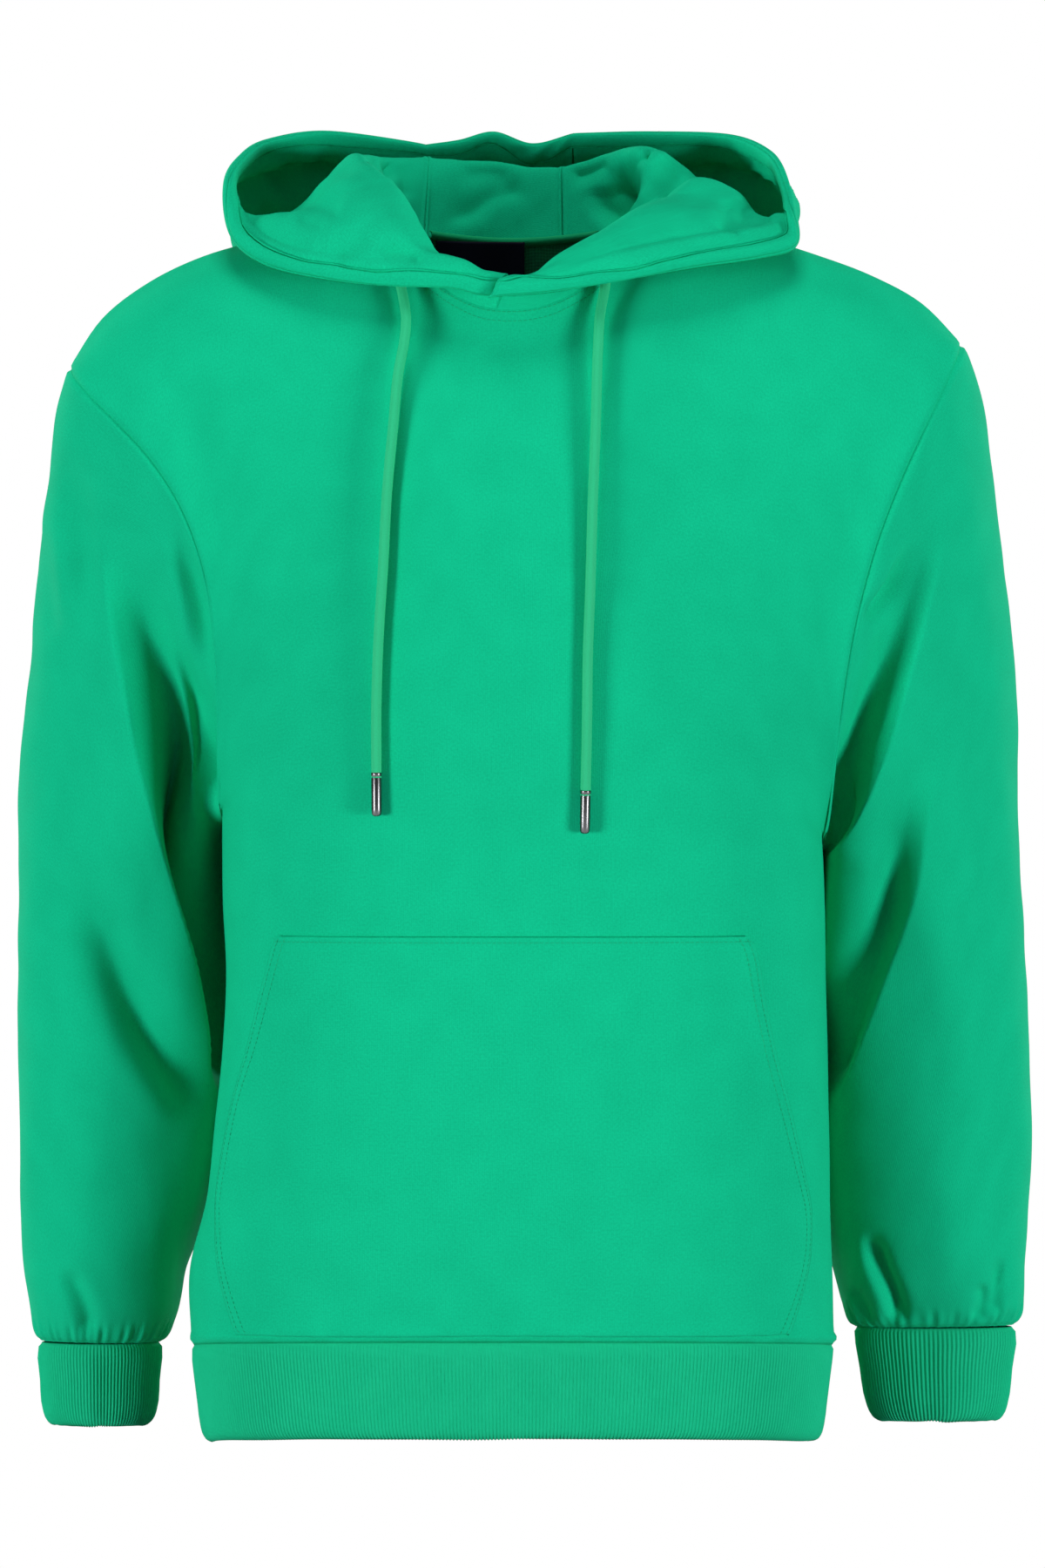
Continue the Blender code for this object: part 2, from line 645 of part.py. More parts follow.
def build_body():
    """The panels and sleeves, walls meeting at their seams."""
    skins = {"front": panel(-1), "back": panel(1)}
    normals = {name: normals_of(grid, False) for name, grid in skins.items()}
    face_out(skins, normals)
    tree = skin_tree(skins, normals)
    skins["sleeve_right"] = sleeve(SLEEVE_RIGHT, ARMHOLE_RIGHT, FOLDS_RIGHT, tree)
    skins["sleeve_left"] = sleeve(SLEEVE_LEFT, ARMHOLE_LEFT, FOLDS_LEFT, tree)
    for name in ("sleeve_right", "sleeve_left"):
        normals[name] = away_normals(skins[name], True)
    share_seams(normals)
    for name in ("sleeve_right", "sleeve_left"):
        normals[name][-1, :, 2] = 0
        normals[name][-1] = unit(normals[name][-1])
    seams = {name: skins[name][-1].copy() for name in ("sleeve_right", "sleeve_left")}
    inners = {name: grid - normals[name] * CLOTH for name, grid in skins.items()}
    made = {}
    for name in ("front", "back"):
        side = -HALF_GAP if name == "front" else HALF_GAP
        for skin in (skins[name], inners[name]):
            skin[:LOW_ROWS + 1, (0, -1), 1] += side
            skin[-1, :, 1] += side
            skin[0, :, 2] += HALF_GAP
            skin[LOW_ROWS:, 0] -= hole_axis(ARMHOLE_RIGHT) * ARMHOLE_GAP
            skin[LOW_ROWS:, -1] -= hole_axis(ARMHOLE_LEFT) * ARMHOLE_GAP
        made[name] = wall_mesh(name, skins[name], inners[name], False)
    for name, hole in (("sleeve_right", ARMHOLE_RIGHT), ("sleeve_left", ARMHOLE_LEFT)):
        for skin in (skins[name], inners[name]):
            skin[0] += hole_axis(hole) * HALF_GAP
            skin[-1, :, 2] += HALF_GAP
        made[name] = wall_mesh(name, skins[name], inners[name], True)
    return made, seams


def skin_tree(skins, normals):
    """A search tree over open skins, its faces pointing the way the normals do."""
    points = []
    faces = []
    for name, grid in skins.items():
        rows, columns = grid.shape[:2]
        start = len(points)
        points.extend(Vector(place * MM) for place in grid.reshape(-1, 3))
        across = grid[0, 1] - grid[0, 0]
        down = grid[1, 0] - grid[0, 0]
        turned = np.dot(np.cross(across, down), normals[name][0, 0]) < 0
        for i in range(rows - 1):
            for j in range(columns - 1):
                a = start + i * columns + j
                face = (a, a + 1, a + 1 + columns, a + columns)
                faces.append(face[::-1] if turned else face)
    return BVHTree.FromPolygons(points, faces)


def face_out(skins, normals):
    """Turns each panel's normals to point away from the torso's middle."""
    for name, grid in skins.items():
        if ((grid - TORSO_MIDDLE) * normals[name]).sum() < 0:
            normals[name] *= -1


def share_seams(normals):
    """Gives the pieces that meet at a seam the same normals along it."""
    front = normals["front"]
    back = normals["back"]
    for column in (0, -1):
        low = unit(front[:LOW_ROWS + 1, column] + back[:LOW_ROWS + 1, column])
        front[:LOW_ROWS + 1, column] = low
        back[:LOW_ROWS + 1, column] = low
    for columns in (slice(0, SHOULDER_COLUMNS + 1), slice(-SHOULDER_COLUMNS - 1, None)):
        ridge = unit(front[-1, columns] + back[-1, columns])
        front[-1, columns] = ridge
        back[-1, columns] = ridge
    holes = (("sleeve_right", 0, ARMHOLE_RIGHT), ("sleeve_left", -1, ARMHOLE_LEFT))
    for name, column, hole in holes:
        ring = normals[name][0]
        for row in range(UP_ROWS + 1):
            at_front = UP_ROWS - row
            at_back = (len(ring) - at_front) % len(ring)
            for panel_normals, at in ((front, at_front), (back, at_back)):
                turn = at * np.pi / UP_ROWS
                radial = armhole(hole, turn) - np.array(hole[0], float)
                there = panel_normals[LOW_ROWS + row, column]
                both = unit(there + ring[at] + unit(radial))
                if row in (0, UP_ROWS):
                    both = unit(radial)
                panel_normals[LOW_ROWS + row, column] = both
                ring[at] = both


def build_ribs(made, seams):
    """The hem rib and the cuffs: raised ribs over plain insides."""
    columns = 2 * SHOULDER_COLUMNS + NECK_COLUMNS
    fine = 2 * HEM_RIBS_PER_COLUMN * columns
    front = half_ring(-1, HEM_SIDE, HEM_SIDE, HEM_LIFT, fine + 1)
    back = half_ring(1, HEM_SIDE, HEM_SIDE, -2, fine + 1)
    ring = np.concatenate([front, back[-2:0:-1]])
    middle = ring.mean(axis=0)
    rings = []
    for drop, side_inset, depth_inset in HEM_RIB:
        half_width = abs(ring[:, 0] - middle[0]).max()
        half_depth = abs(ring[:, 1] - middle[1]).max()
        lower = ring.copy()
        lower[:, 0] = middle[0] + (ring[:, 0] - middle[0]) * (1 - side_inset / half_width)
        lower[:, 1] = middle[1] + (ring[:, 1] - middle[1]) * (1 - depth_inset / half_depth)
        lower[:, 2] -= drop
        rings.append(lower)
    rings = np.array(rings)
    rings[0, :, 2] -= HALF_GAP
    made["hem_rib"] = ribbed_wall("hem_rib", rings, 2 * HEM_RIBS_PER_COLUMN)
    fine = 2 * CUFF_RIBS_PER_COLUMN
    turns = np.arange(2 * UP_ROWS * fine) * np.pi / (UP_ROWS * fine)
    cuffs = (("right", CUFF_RIGHT), ("left", CUFF_LEFT))
    for side, table in cuffs:
        seam = seams["sleeve_" + side]
        middle_y = seam[:, 1].mean()
        rings = []
        for height, outer_x, inner_x, depth in table:
            x = (outer_x + inner_x) / 2 + (outer_x - inner_x) / 2 * np.cos(turns)
            y = middle_y - depth * np.sin(turns)
            rings.append(np.stack([x, y, np.full(len(turns), float(height))], axis=1))
        rings = np.array(rings)
        rings[0, ::fine] = seam
        rings[0, :, 2] -= HALF_GAP
        name = "cuff_" + side
        made[name] = ribbed_wall(name, rings, fine)


def ribbed_wall(name, rings, fine):
    """A wall with ribs raised on its second to third ring; `fine` columns to one."""
    normals = away_normals(rings, True)
    normals[:, :, 2] *= 0.4
    normals = unit(normals)
    count = rings.shape[1]
    crest = np.arange(count) % 2 * RIB_HEIGHT
    points = []
    loops = []

    def add(ring):
        """Adds a ring of points and keeps its numbers."""
        loops.append(np.arange(len(ring)) + len(points))
        points.extend(ring)

    add(rings[0, ::fine])
    for row in (1, 2):
        add(rings[row] + normals[row] * crest[:, None])
    for row in range(3, len(rings)):
        add(rings[row, ::fine])
    for row in range(len(rings) - 1, -1, -2):
        add(rings[row, ::fine] - normals[row, ::fine] * RIB_WALL)
    faces = []
    for upper, lower in zip(loops, loops[1:] + loops[:1]):
        faces.extend(band(upper, lower))
    return mesh_object(name, np.array(points), faces)


def band(upper, lower):
    """Faces between two rings, one of which may have more columns."""
    if len(upper) == len(lower):
        after = np.roll(upper, -1), np.roll(lower, -1)
        return [tuple(face) for face in zip(upper, after[0], after[1], lower)]
    if len(upper) > len(lower):
        return [face[::-1] for face in band(lower, upper)]
    ratio = len(lower) // len(upper)
    faces = []
    for j, here in enumerate(upper):
        following = upper[(j + 1) % len(upper)]
        for k in range(ratio):
            near = here if k < ratio // 2 else following
            a = lower[j * ratio + k]
            b = lower[(j * ratio + k + 1) % len(lower)]
            faces.append((near, b, a))
            if k == ratio // 2 - 1:
                faces.append((here, following, b))
    return faces


def build_hood(made):
    """The three hood panels, round the neck seam and down the back."""
    tree = tree_of([made["front"], made["back"]])
    skins = {
        "hood_right": hood_skin(HOOD_RIGHT, 7.5, 150),
        "hood_center": hood_skin(HOOD_CENTER, 150, 202.5),
        "hood_left": hood_skin(HOOD_LEFT, 202.5, 367.5),
    }
    normals = {}
    for name, grid in skins.items():
        grid[:, 2:] = pushed_clear(grid[:, 2:], tree, HOOD_CLEARANCE)
        grid[:, 0, 2] += NECK_GAP
        normal = normals_of(grid, False)
        away = grid[:, 0] - np.array([0, 0, -20.0])
        if (away * normal[:, 0]).sum() < 0:
            normal *= -1
        normals[name] = normal
    for one, other in (("hood_right", "hood_center"), ("hood_center", "hood_left")):
        same = normals[one][-1] + normals[other][0]
        same[:, 0] = 0
        same = unit(same)
        normals[one][-1] = same
        normals[other][0] = same
    for name, grid in skins.items():
        inner = grid - normals[name] * HOOD_WALL
        draw_in((grid, inner))
        made[name] = wall_mesh(name, grid, inner, False)


def build_pocket(made):
    """The pocket, made from the front's points moved out."""
    tree = tree_of([made["front"]])
    heights = np.linspace(POCKET[0][0], POCKET[-1][0], POCKET_ROWS + 1)
    skin = []
    for i, height in enumerate(heights):
        right_x, left_x = smooth(height, POCKET)[0]
        down = i / POCKET_ROWS
        row = []
        for j in range(POCKET_COLUMNS + 1):
            across = j / POCKET_COLUMNS
            x = right_x + (left_x - right_x) * (across - np.sin(4 * np.pi * (across - 0.5)) / 60)
            z = height + 2.0 * np.sin(np.pi * across) * down
            y = front_depth(tree, x, z)[0]
            row.append((x, y, z))
        skin.append(row)
    skin = np.array(skin)
    normals = normals_of(skin, False)
    if normals[0, POCKET_COLUMNS // 2, 1] > 0:
        normals = -normals
    across = np.sin(np.pi * np.linspace(0, 1, POCKET_COLUMNS + 1))
    down = np.sin(np.pi * np.minimum(np.linspace(0, 1, POCKET_ROWS + 1), 0.94))
    belly = POCKET_CLEARANCE + POCKET_BELLY * down[:, None] * across
    inner = lifted(skin + normals * belly[:, :, None], normals, tree, POCKET_CLEARANCE)
    made["pocket"] = wall_mesh("pocket", inner + normals * CLOTH, inner, False)


def lifted(grid, normals, tree, clearance):
    """Lifts a grid along its normals until each square clears what lies below."""
    grid = grid.copy()
    shares = np.linspace(0, 1, 5)
    for _ in range(4):
        lift = np.zeros(grid.shape[:2])
        for i in range(grid.shape[0] - 1):
            for j in range(grid.shape[1] - 1):
                corners = grid[i:i + 2, j:j + 2]
                short = 0.0
                for s in shares:
                    for t in shares:
                        top = corners[0, 0] * (1 - t) + corners[0, 1] * t
                        low = corners[1, 0] * (1 - t) + corners[1, 1] * t
                        place = top * (1 - s) + low * s
                        found = tree.find_nearest(Vector(place * MM))
                        away = (place * MM - np.array(found[0])) @ np.array(found[1])
                        short = max(short, clearance - away / MM)
                lift[i:i + 2, j:j + 2] = np.maximum(lift[i:i + 2, j:j + 2], short)
        grid += normals * lift[:, :, None]
    return grid


def build_neck_trim(made):
    """The tape over the back neck seam and the plain label below it."""
    angles = np.arange(TAPE_START, TAPE_END, HOOD_ROW_ANGLE)
    tape = []
    for angle in angles:
        base = neck_point(angle)
        level = np.array([base[0], base[1], 0])
        inward = -unit(level)
        column = []
        for height in (-TAPE_HALF_HEIGHT, 0, TAPE_HALF_HEIGHT):
            column.append(base + inward * (HOOD_WALL + TRIM_GAP) + (0, 0, height))
        tape.append(column)
    tape = np.array(tape)
    inward = -unit(tape * np.array([1, 1, 0]))
    made["neck_tape"] = wall_mesh("neck_tape", tape, tape + inward * TAPE_WALL, False)
    rows = np.linspace(LABEL_TOP, LABEL_BOTTOM, 4)
    columns = np.linspace(-0.5, 0.5, 7) * LABEL_WIDTH + LABEL_MIDDLE
    label = []
    for z in rows:
        row = []
        for x in columns:
            ring_y = NECK_BACK * np.sqrt(1 - (x / NECK_HALF) ** 2)
            row.append((x, ring_y - LABEL_DEPTH, z))
        label.append(row)
    label = np.array(label)
    made["neck_label"] = wall_mesh("neck_label", label, label - (0, LABEL_WALL, 0), False)


def build_cords(made):
    """The two drawcords hanging on the chest, each with its metal tip."""
    below = ["front", "pocket", "hood_right", "hood_left", "hood_center"]
    tree = tree_of([made[name] for name in below])
    for side, table in (("right", CORD_RIGHT), ("left", CORD_LEFT)):
        flat = np.array([(x, 0, z) for x, z in table], float)
        flat = curve_through(flat, CORD_STEPS + 1)
        route = []
        for x, _, z in flat:
            near = [front_depth(tree, x + dx, z - dz)[0] for dx in (-3, 0, 3) for dz in (0, 7)]
            route.append((x, min(near) - CORD_RADIUS - CORD_CLEARANCE, z))
        route = np.array(route)
        route[:, 1] = settled(route[:, 1])
        route = rested(tree, route)
        made["cord_" + side] = tube_object("cord_" + side, route, CORD_RADIUS)
        direction = unit(route[-1] - route[-2])
        top = route[-1] + direction * SEAM_GAP
        profile = (
            (0, TIP_RADIUS), (1.2, TIP_RADIUS + 0.3), (TIP_LENGTH - 2.0, TIP_RADIUS + 0.3),
            (TIP_LENGTH - 0.5, TIP_RADIUS - 0.4), (TIP_LENGTH, TIP_RADIUS - 1.4),
        )
        name = "cord_tip_" + side
        made[name] = turned_object(name, top, direction, profile, TIP_SIDES)


def rested(tree, route):
    """Moves a cord back until it lies a seam's gap from the nearest cloth."""
    route = route.copy()
    for _ in range(3):
        nearest = min(
            tree.find_nearest(Vector(place * MM))[3] / MM for place in resample(route, 200)
        )
        route[:, 1] += nearest - CORD_RADIUS - SEAM_GAP
    return route


def settled(depths):
    """Lets a hanging cord bridge hollows: the frontmost smooth line over them."""
    line = depths.copy()
    for _ in range(60):
        middle = (line[:-2] + line[2:]) / 2
        line[1:-1] = np.minimum(depths[1:-1], middle)
    return line


def main():
    """Builds the sweatshirt."""
    clear_scene()
    made, seams = build_body()
    build_ribs(made, seams)
    build_hood(made)
    build_pocket(made)
    build_neck_trim(made)
    build_cords(made)
    finishes = {
        "hem_rib": (RIB_GREEN, 0.9),
        "cuff_right": (RIB_GREEN, 0.9),
        "cuff_left": (RIB_GREEN, 0.9),
        "cord_right": (CORD_GREEN, 0.8),
        "cord_left": (CORD_GREEN, 0.8),
        "neck_tape": (TAPE_GREEN, 0.9),
        "neck_label": (LABEL_NAVY, 0.6),
    }
    for name, obj in made.items():
        if "cord_tip" in name:
            material_for(obj, GUNMETAL, 0.35, 1.0)
        else:
            colour, roughness = finishes.get(name, (CLOTH_GREEN, 0.9))
            material_for(obj, colour, roughness)


main()
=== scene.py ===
"""A hooded pullover sweatshirt, worn and filled out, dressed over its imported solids.

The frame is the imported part's: +Z up, the front faces -Y, and the wearer's left is
+X. Shapes are worked out in millimetres and made in metres. Creases and lines that
follow the photograph are given in its pixels, 1200 wide and 1800 high.
"""

from __future__ import annotations

import json
import logging
import math
from dataclasses import dataclass, field
from enum import Enum
from typing import Callable, Iterable, Sequence

import bmesh
import bpy
import numpy as np
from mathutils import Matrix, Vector
from mathutils.bvhtree import BVHTree

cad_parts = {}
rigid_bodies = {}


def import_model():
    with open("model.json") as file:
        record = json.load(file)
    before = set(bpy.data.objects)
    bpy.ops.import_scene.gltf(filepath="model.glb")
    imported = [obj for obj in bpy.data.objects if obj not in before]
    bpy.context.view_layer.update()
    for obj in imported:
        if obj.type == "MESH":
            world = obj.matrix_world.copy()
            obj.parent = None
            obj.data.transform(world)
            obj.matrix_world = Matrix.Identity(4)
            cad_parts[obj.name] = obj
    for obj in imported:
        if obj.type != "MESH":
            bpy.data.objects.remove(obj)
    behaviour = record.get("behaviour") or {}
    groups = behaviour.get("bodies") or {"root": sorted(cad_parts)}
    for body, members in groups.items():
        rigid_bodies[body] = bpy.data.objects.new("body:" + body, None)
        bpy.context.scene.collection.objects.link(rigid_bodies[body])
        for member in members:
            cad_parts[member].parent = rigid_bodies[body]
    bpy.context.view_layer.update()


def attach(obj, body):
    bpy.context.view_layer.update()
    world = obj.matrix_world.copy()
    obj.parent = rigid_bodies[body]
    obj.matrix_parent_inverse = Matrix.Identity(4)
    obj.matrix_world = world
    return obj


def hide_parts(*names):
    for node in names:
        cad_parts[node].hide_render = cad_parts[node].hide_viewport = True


log = logging.getLogger("sweatshirt")

Grid = np.ndarray
Line = np.ndarray
Colour = tuple[float, float, float]
Values = np.ndarray | float
Material = bpy.types.Material

MM = 0.001
PHOTO_HIGH = 1800
MM_PER_PIXEL = 0.51
PIXEL_AT_ORIGIN = (590.0, 240.0)
CAMERA_PLACE = (5.1, -5000.0, -336.6)
SENSOR = 36.0

FRONT, BACK = -1, 1
CLOTH_WALL = 1.6
HOOD_WALL = 3.0
TRIM_WALL = 0.8
SEAM_REACH = 1.7
DROP_CREST = 22.0
SHORTEST_SHEET = 0.01
LEAST_AREA_SHARE = 0.3


# ---- shape maths


def table_at(at: Values, table: Sequence) -> np.ndarray:
    """Reads a table of (key, values...) along smooth curves through its rows.

    Args:
        at: the key or keys to read at.
        table: rows of a key and its values, with the keys in order.

    Returns:
        One row of values for each key.
    """
    rows = np.array(table, float)
    if rows[0, 0] > rows[-1, 0]:
        rows = rows[::-1]
    keys = rows[:, 0]
    values = rows[:, 1:]
    steps = np.diff(keys)
    slopes = np.diff(values, axis=0) / steps[:, None]
    tangents = np.empty_like(values)
    tangents[1:-1] = slopes[1:] * steps[:-1, None] + slopes[:-1] * steps[1:, None]
    tangents[1:-1] /= (steps[1:] + steps[:-1])[:, None]
    tangents[0] = slopes[0]
    tangents[-1] = slopes[-1]
    at = np.clip(np.atleast_1d(np.asarray(at, float)), keys[0], keys[-1])
    low = np.clip(np.searchsorted(keys, at, side="right") - 1, 0, len(keys) - 2)
    step = steps[low][:, None]
    t = (at - keys[low])[:, None] / step
    first = values[low] * (2 * t**3 - 3 * t**2 + 1)
    second = values[low + 1] * (3 * t**2 - 2 * t**3)
    bend = tangents[low] * (t**3 - 2 * t**2 + t) * step
    return first + second + bend + tangents[low + 1] * (t**3 - t**2) * step


def lengths_along(points: Grid) -> np.ndarray:
    """The distance to each point along a line of points, or down a grid's columns."""
    steps = np.linalg.norm(np.diff(points, axis=0), axis=-1)
    return np.concatenate([np.zeros_like(steps[:1]), np.cumsum(steps, axis=0)])


def read_at(at: Values, along: np.ndarray, values: np.ndarray) -> np.ndarray:
    """Rows of values, read at some distances along the line that they lie on."""
    return np.stack([np.interp(at, along, column) for column in values.T], axis=-1)


def joined(parts: Sequence[np.ndarray]) -> np.ndarray:
    """Parts end to end, where each starts with the row that the one before ends with."""
    return np.concatenate([part[min(k, 1):] for k, part in enumerate(parts)])


def grid_of(place: Callable[..., Sequence], downs: Sequence, acrosses: Sequence) -> Grid:
    """The grid of places that a function gives for a row's value and a column's value."""
    return np.array([[place(down, across) for across in acrosses] for down in downs])


def resample(points: Line, count: int) -> Line:
    """`count` points spread evenly along a line of points."""
    along = lengths_along(points)
    return read_at(np.linspace(0, along[-1], count), along, points)


def curve_through(points: Sequence, count: int) -> Line:
    """`count` points spread evenly along a smooth curve through `points`."""
    points = np.asarray(points, float)
    along = lengths_along(points)
    table = np.column_stack([along, points])
    return resample(table_at(np.linspace(0, along[-1], 40 * len(points)), table), count)


def flat_curve(table: Sequence, count: int) -> Line:
    """`count` points along a smooth curve through rows of x and z, at y = 0."""
    return curve_through([(x, 0, z) for x, z in table], count)


def ease(x: Values) -> np.ndarray:
    """Rises smoothly from 0 to 1 as x does."""
    x = np.clip(x, 0, 1)
    return x * x * (3 - 2 * x)


def bell(x: Values, width: Values) -> np.ndarray:
    """A smooth bump, 1 high at x = 0 and gone by two widths from it."""
    return np.exp(-((x / width) ** 2))


def unit(vectors: np.ndarray) -> np.ndarray:
    """The vectors at length 1."""
    length = np.linalg.norm(vectors, axis=-1, keepdims=True)
    return vectors / np.maximum(length, 1e-9)


def normals_of(grid: Grid, wrap: bool) -> Grid:
    """Unit normals of a grid of points; `wrap` where its rows are rings."""
    down = np.gradient(grid, axis=0)
    if wrap:
        across = np.roll(grid, -1, axis=1) - np.roll(grid, 1, axis=1)
    else:
        across = np.gradient(grid, axis=1)
    return unit(np.cross(across, down))


def refined(grid: Grid, rows_at: np.ndarray, columns_at: np.ndarray, wrap: bool = False) -> Grid:
    """Reads a coarse grid smoothly at finer rows and columns.

    Args:
        grid: the coarse grid of points.
        rows_at: the rows to read, where 0 is its first row and 1 its second.
        columns_at: the columns to read, in the same way.
        wrap: whether each row is a closed ring.

    Returns:
        The finer grid.
    """
    if wrap:
        grid = np.concatenate([grid[:, -2:], grid, grid[:, :3]], axis=1)
        columns_at = columns_at + 2
    for at in (rows_at, columns_at):
        keys = lengths_along(grid).mean(axis=1)
        places = np.interp(at, np.arange(len(grid)), keys)
        table = np.column_stack([keys, grid.reshape(len(grid), -1)])
        grid = table_at(places, table).reshape(len(at), -1, 3).transpose(1, 0, 2)
    return grid


def spread(cells: int, steps: int, first: Sequence, last: Sequence) -> np.ndarray:
    """Even places over some cells, with extra ones near the two ends.

    Args:
        cells: how many cells there are.
        steps: how many steps each cell takes.
        first: extra places after the start, in cells.
        last: extra places before the end, in cells.

    Returns:
        The places in order.
    """
    gap = 0.2 / steps
    even = np.linspace(0, cells, cells * steps + 1)
    inside = even[(even > max(first) + gap) & (even < cells - max(last) - gap)]
    return np.concatenate([[0.0], first, inside, cells - np.array(last)[::-1], [cells]])


def seen_at(points: np.ndarray) -> np.ndarray:
    """The pixel of the photograph at which each point is seen, as x and y."""
    camera = np.array(CAMERA_PLACE)
    away = (points - camera) * (-CAMERA_PLACE[1] / (points[..., 1:2] - CAMERA_PLACE[1]))
    flat = camera + away
    across = PIXEL_AT_ORIGIN[0] + flat[..., 0] / MM_PER_PIXEL
    down = PIXEL_AT_ORIGIN[1] - flat[..., 2] / MM_PER_PIXEL
    return np.stack([across, down], axis=-1)


class Side(Enum):
    """A side of a line that runs down the picture."""

    LEFT = -1
    RIGHT = 1


class Form(Enum):
    """The two kinds of crease."""

    GROOVE = "a trough along the line, with a ridge beside it"
    DROP = "a crisp edge along the line, from which the cloth falls away"


@dataclass(frozen=True)
class Crease:
    """A trough with a ridge on one side of it, along a line of photograph pixels.

    Depth, the two widths and the ridge's height are in millimetres. The trough's wall
    is steep towards the ridge and soft away from it.
    """

    line: tuple[tuple[float, float], ...]
    depth: float
    soft: float
    steep: float
    ridge: float = 0.0
    ridge_side: Side = Side.LEFT
    fade: tuple[float, float] = (0.3, 0.2)
    form: Form = Form.GROOVE

    def height_at(self, pixels: np.ndarray) -> np.ndarray:
        """How far the cloth stands out at each of some pixels, in millimetres."""
        line = np.array(self.line, float)
        line = curve_through(np.column_stack([line, np.zeros(len(line))]), 24)[:, :2]
        first = line[:-1]
        along = line[1:] - first
        flat = pixels.reshape(-1, 1, 2) - first
        share = np.clip((flat * along).sum(-1) / (along**2).sum(-1), 0, 1)
        away = flat - along * share[..., None]
        distance = np.linalg.norm(away, axis=-1)
        near = distance.argmin(axis=1)
        pick = np.arange(len(near))
        side = np.sign(along[near, 0] * away[pick, near, 1] - along[near, 1] * away[pick, near, 0])
        reach = (near + share[pick, near]) / len(along)
        signed = distance[pick, near] * MM_PER_PIXEL * side * -self.ridge_side.value
        ends = ease(reach / self.fade[0]) * ease((1 - reach) / self.fade[1])
        if self.form is Form.DROP:
            fall = np.sin(math.pi / 2 * np.clip(-signed / self.steep, 0, 1))
            trough = fall * bell(np.maximum(-signed - self.steep, 0), self.soft)
            crest = bell(signed, np.where(signed > 0, DROP_CREST, self.steep))
        else:
            trough = bell(signed, np.where(signed > 0, self.steep, self.soft))
            past = signed - 2.0 * self.steep
            crest = bell(past, self.steep * np.where(past > 0, 3.0, 0.9))
        return ((self.ridge * crest - self.depth * trough) * ends).reshape(pixels.shape[:-1])


def ripple(points: Grid, length: float, seed: int) -> np.ndarray:
    """A smooth uneven height of about -1 to 1, with bumps of some length in mm."""
    random = np.random.default_rng(seed)
    total = np.zeros(points.shape[:-1])
    for _ in range(7):
        way = unit(random.normal(size=3)) * (2 * math.pi / length) * random.uniform(0.6, 1.5)
        total += np.sin(points @ way + random.uniform(0, 2 * math.pi))
    return total / 3.2


# ---- cloth shells


class Edge(Enum):
    """An edge of a cloth grid: whether it is a column, and whether it is the last."""

    FIRST_ROW = (False, False)
    LAST_ROW = (False, True)
    FIRST_COLUMN = (True, False)
    LAST_COLUMN = (True, True)


def placed(name: str, data: bpy.types.ID) -> bpy.types.Object:
    """A new object in the scene that holds some data."""
    thing = bpy.data.objects.new(name, data)
    bpy.context.scene.collection.objects.link(thing)
    return thing


def mesh_of(name: str, shape: bmesh.types.BMesh) -> bpy.types.Mesh:
    """A new mesh made of a shape, which is used up."""
    mesh = bpy.data.meshes.new(name)
    shape.to_mesh(mesh)
    shape.free()
    return mesh


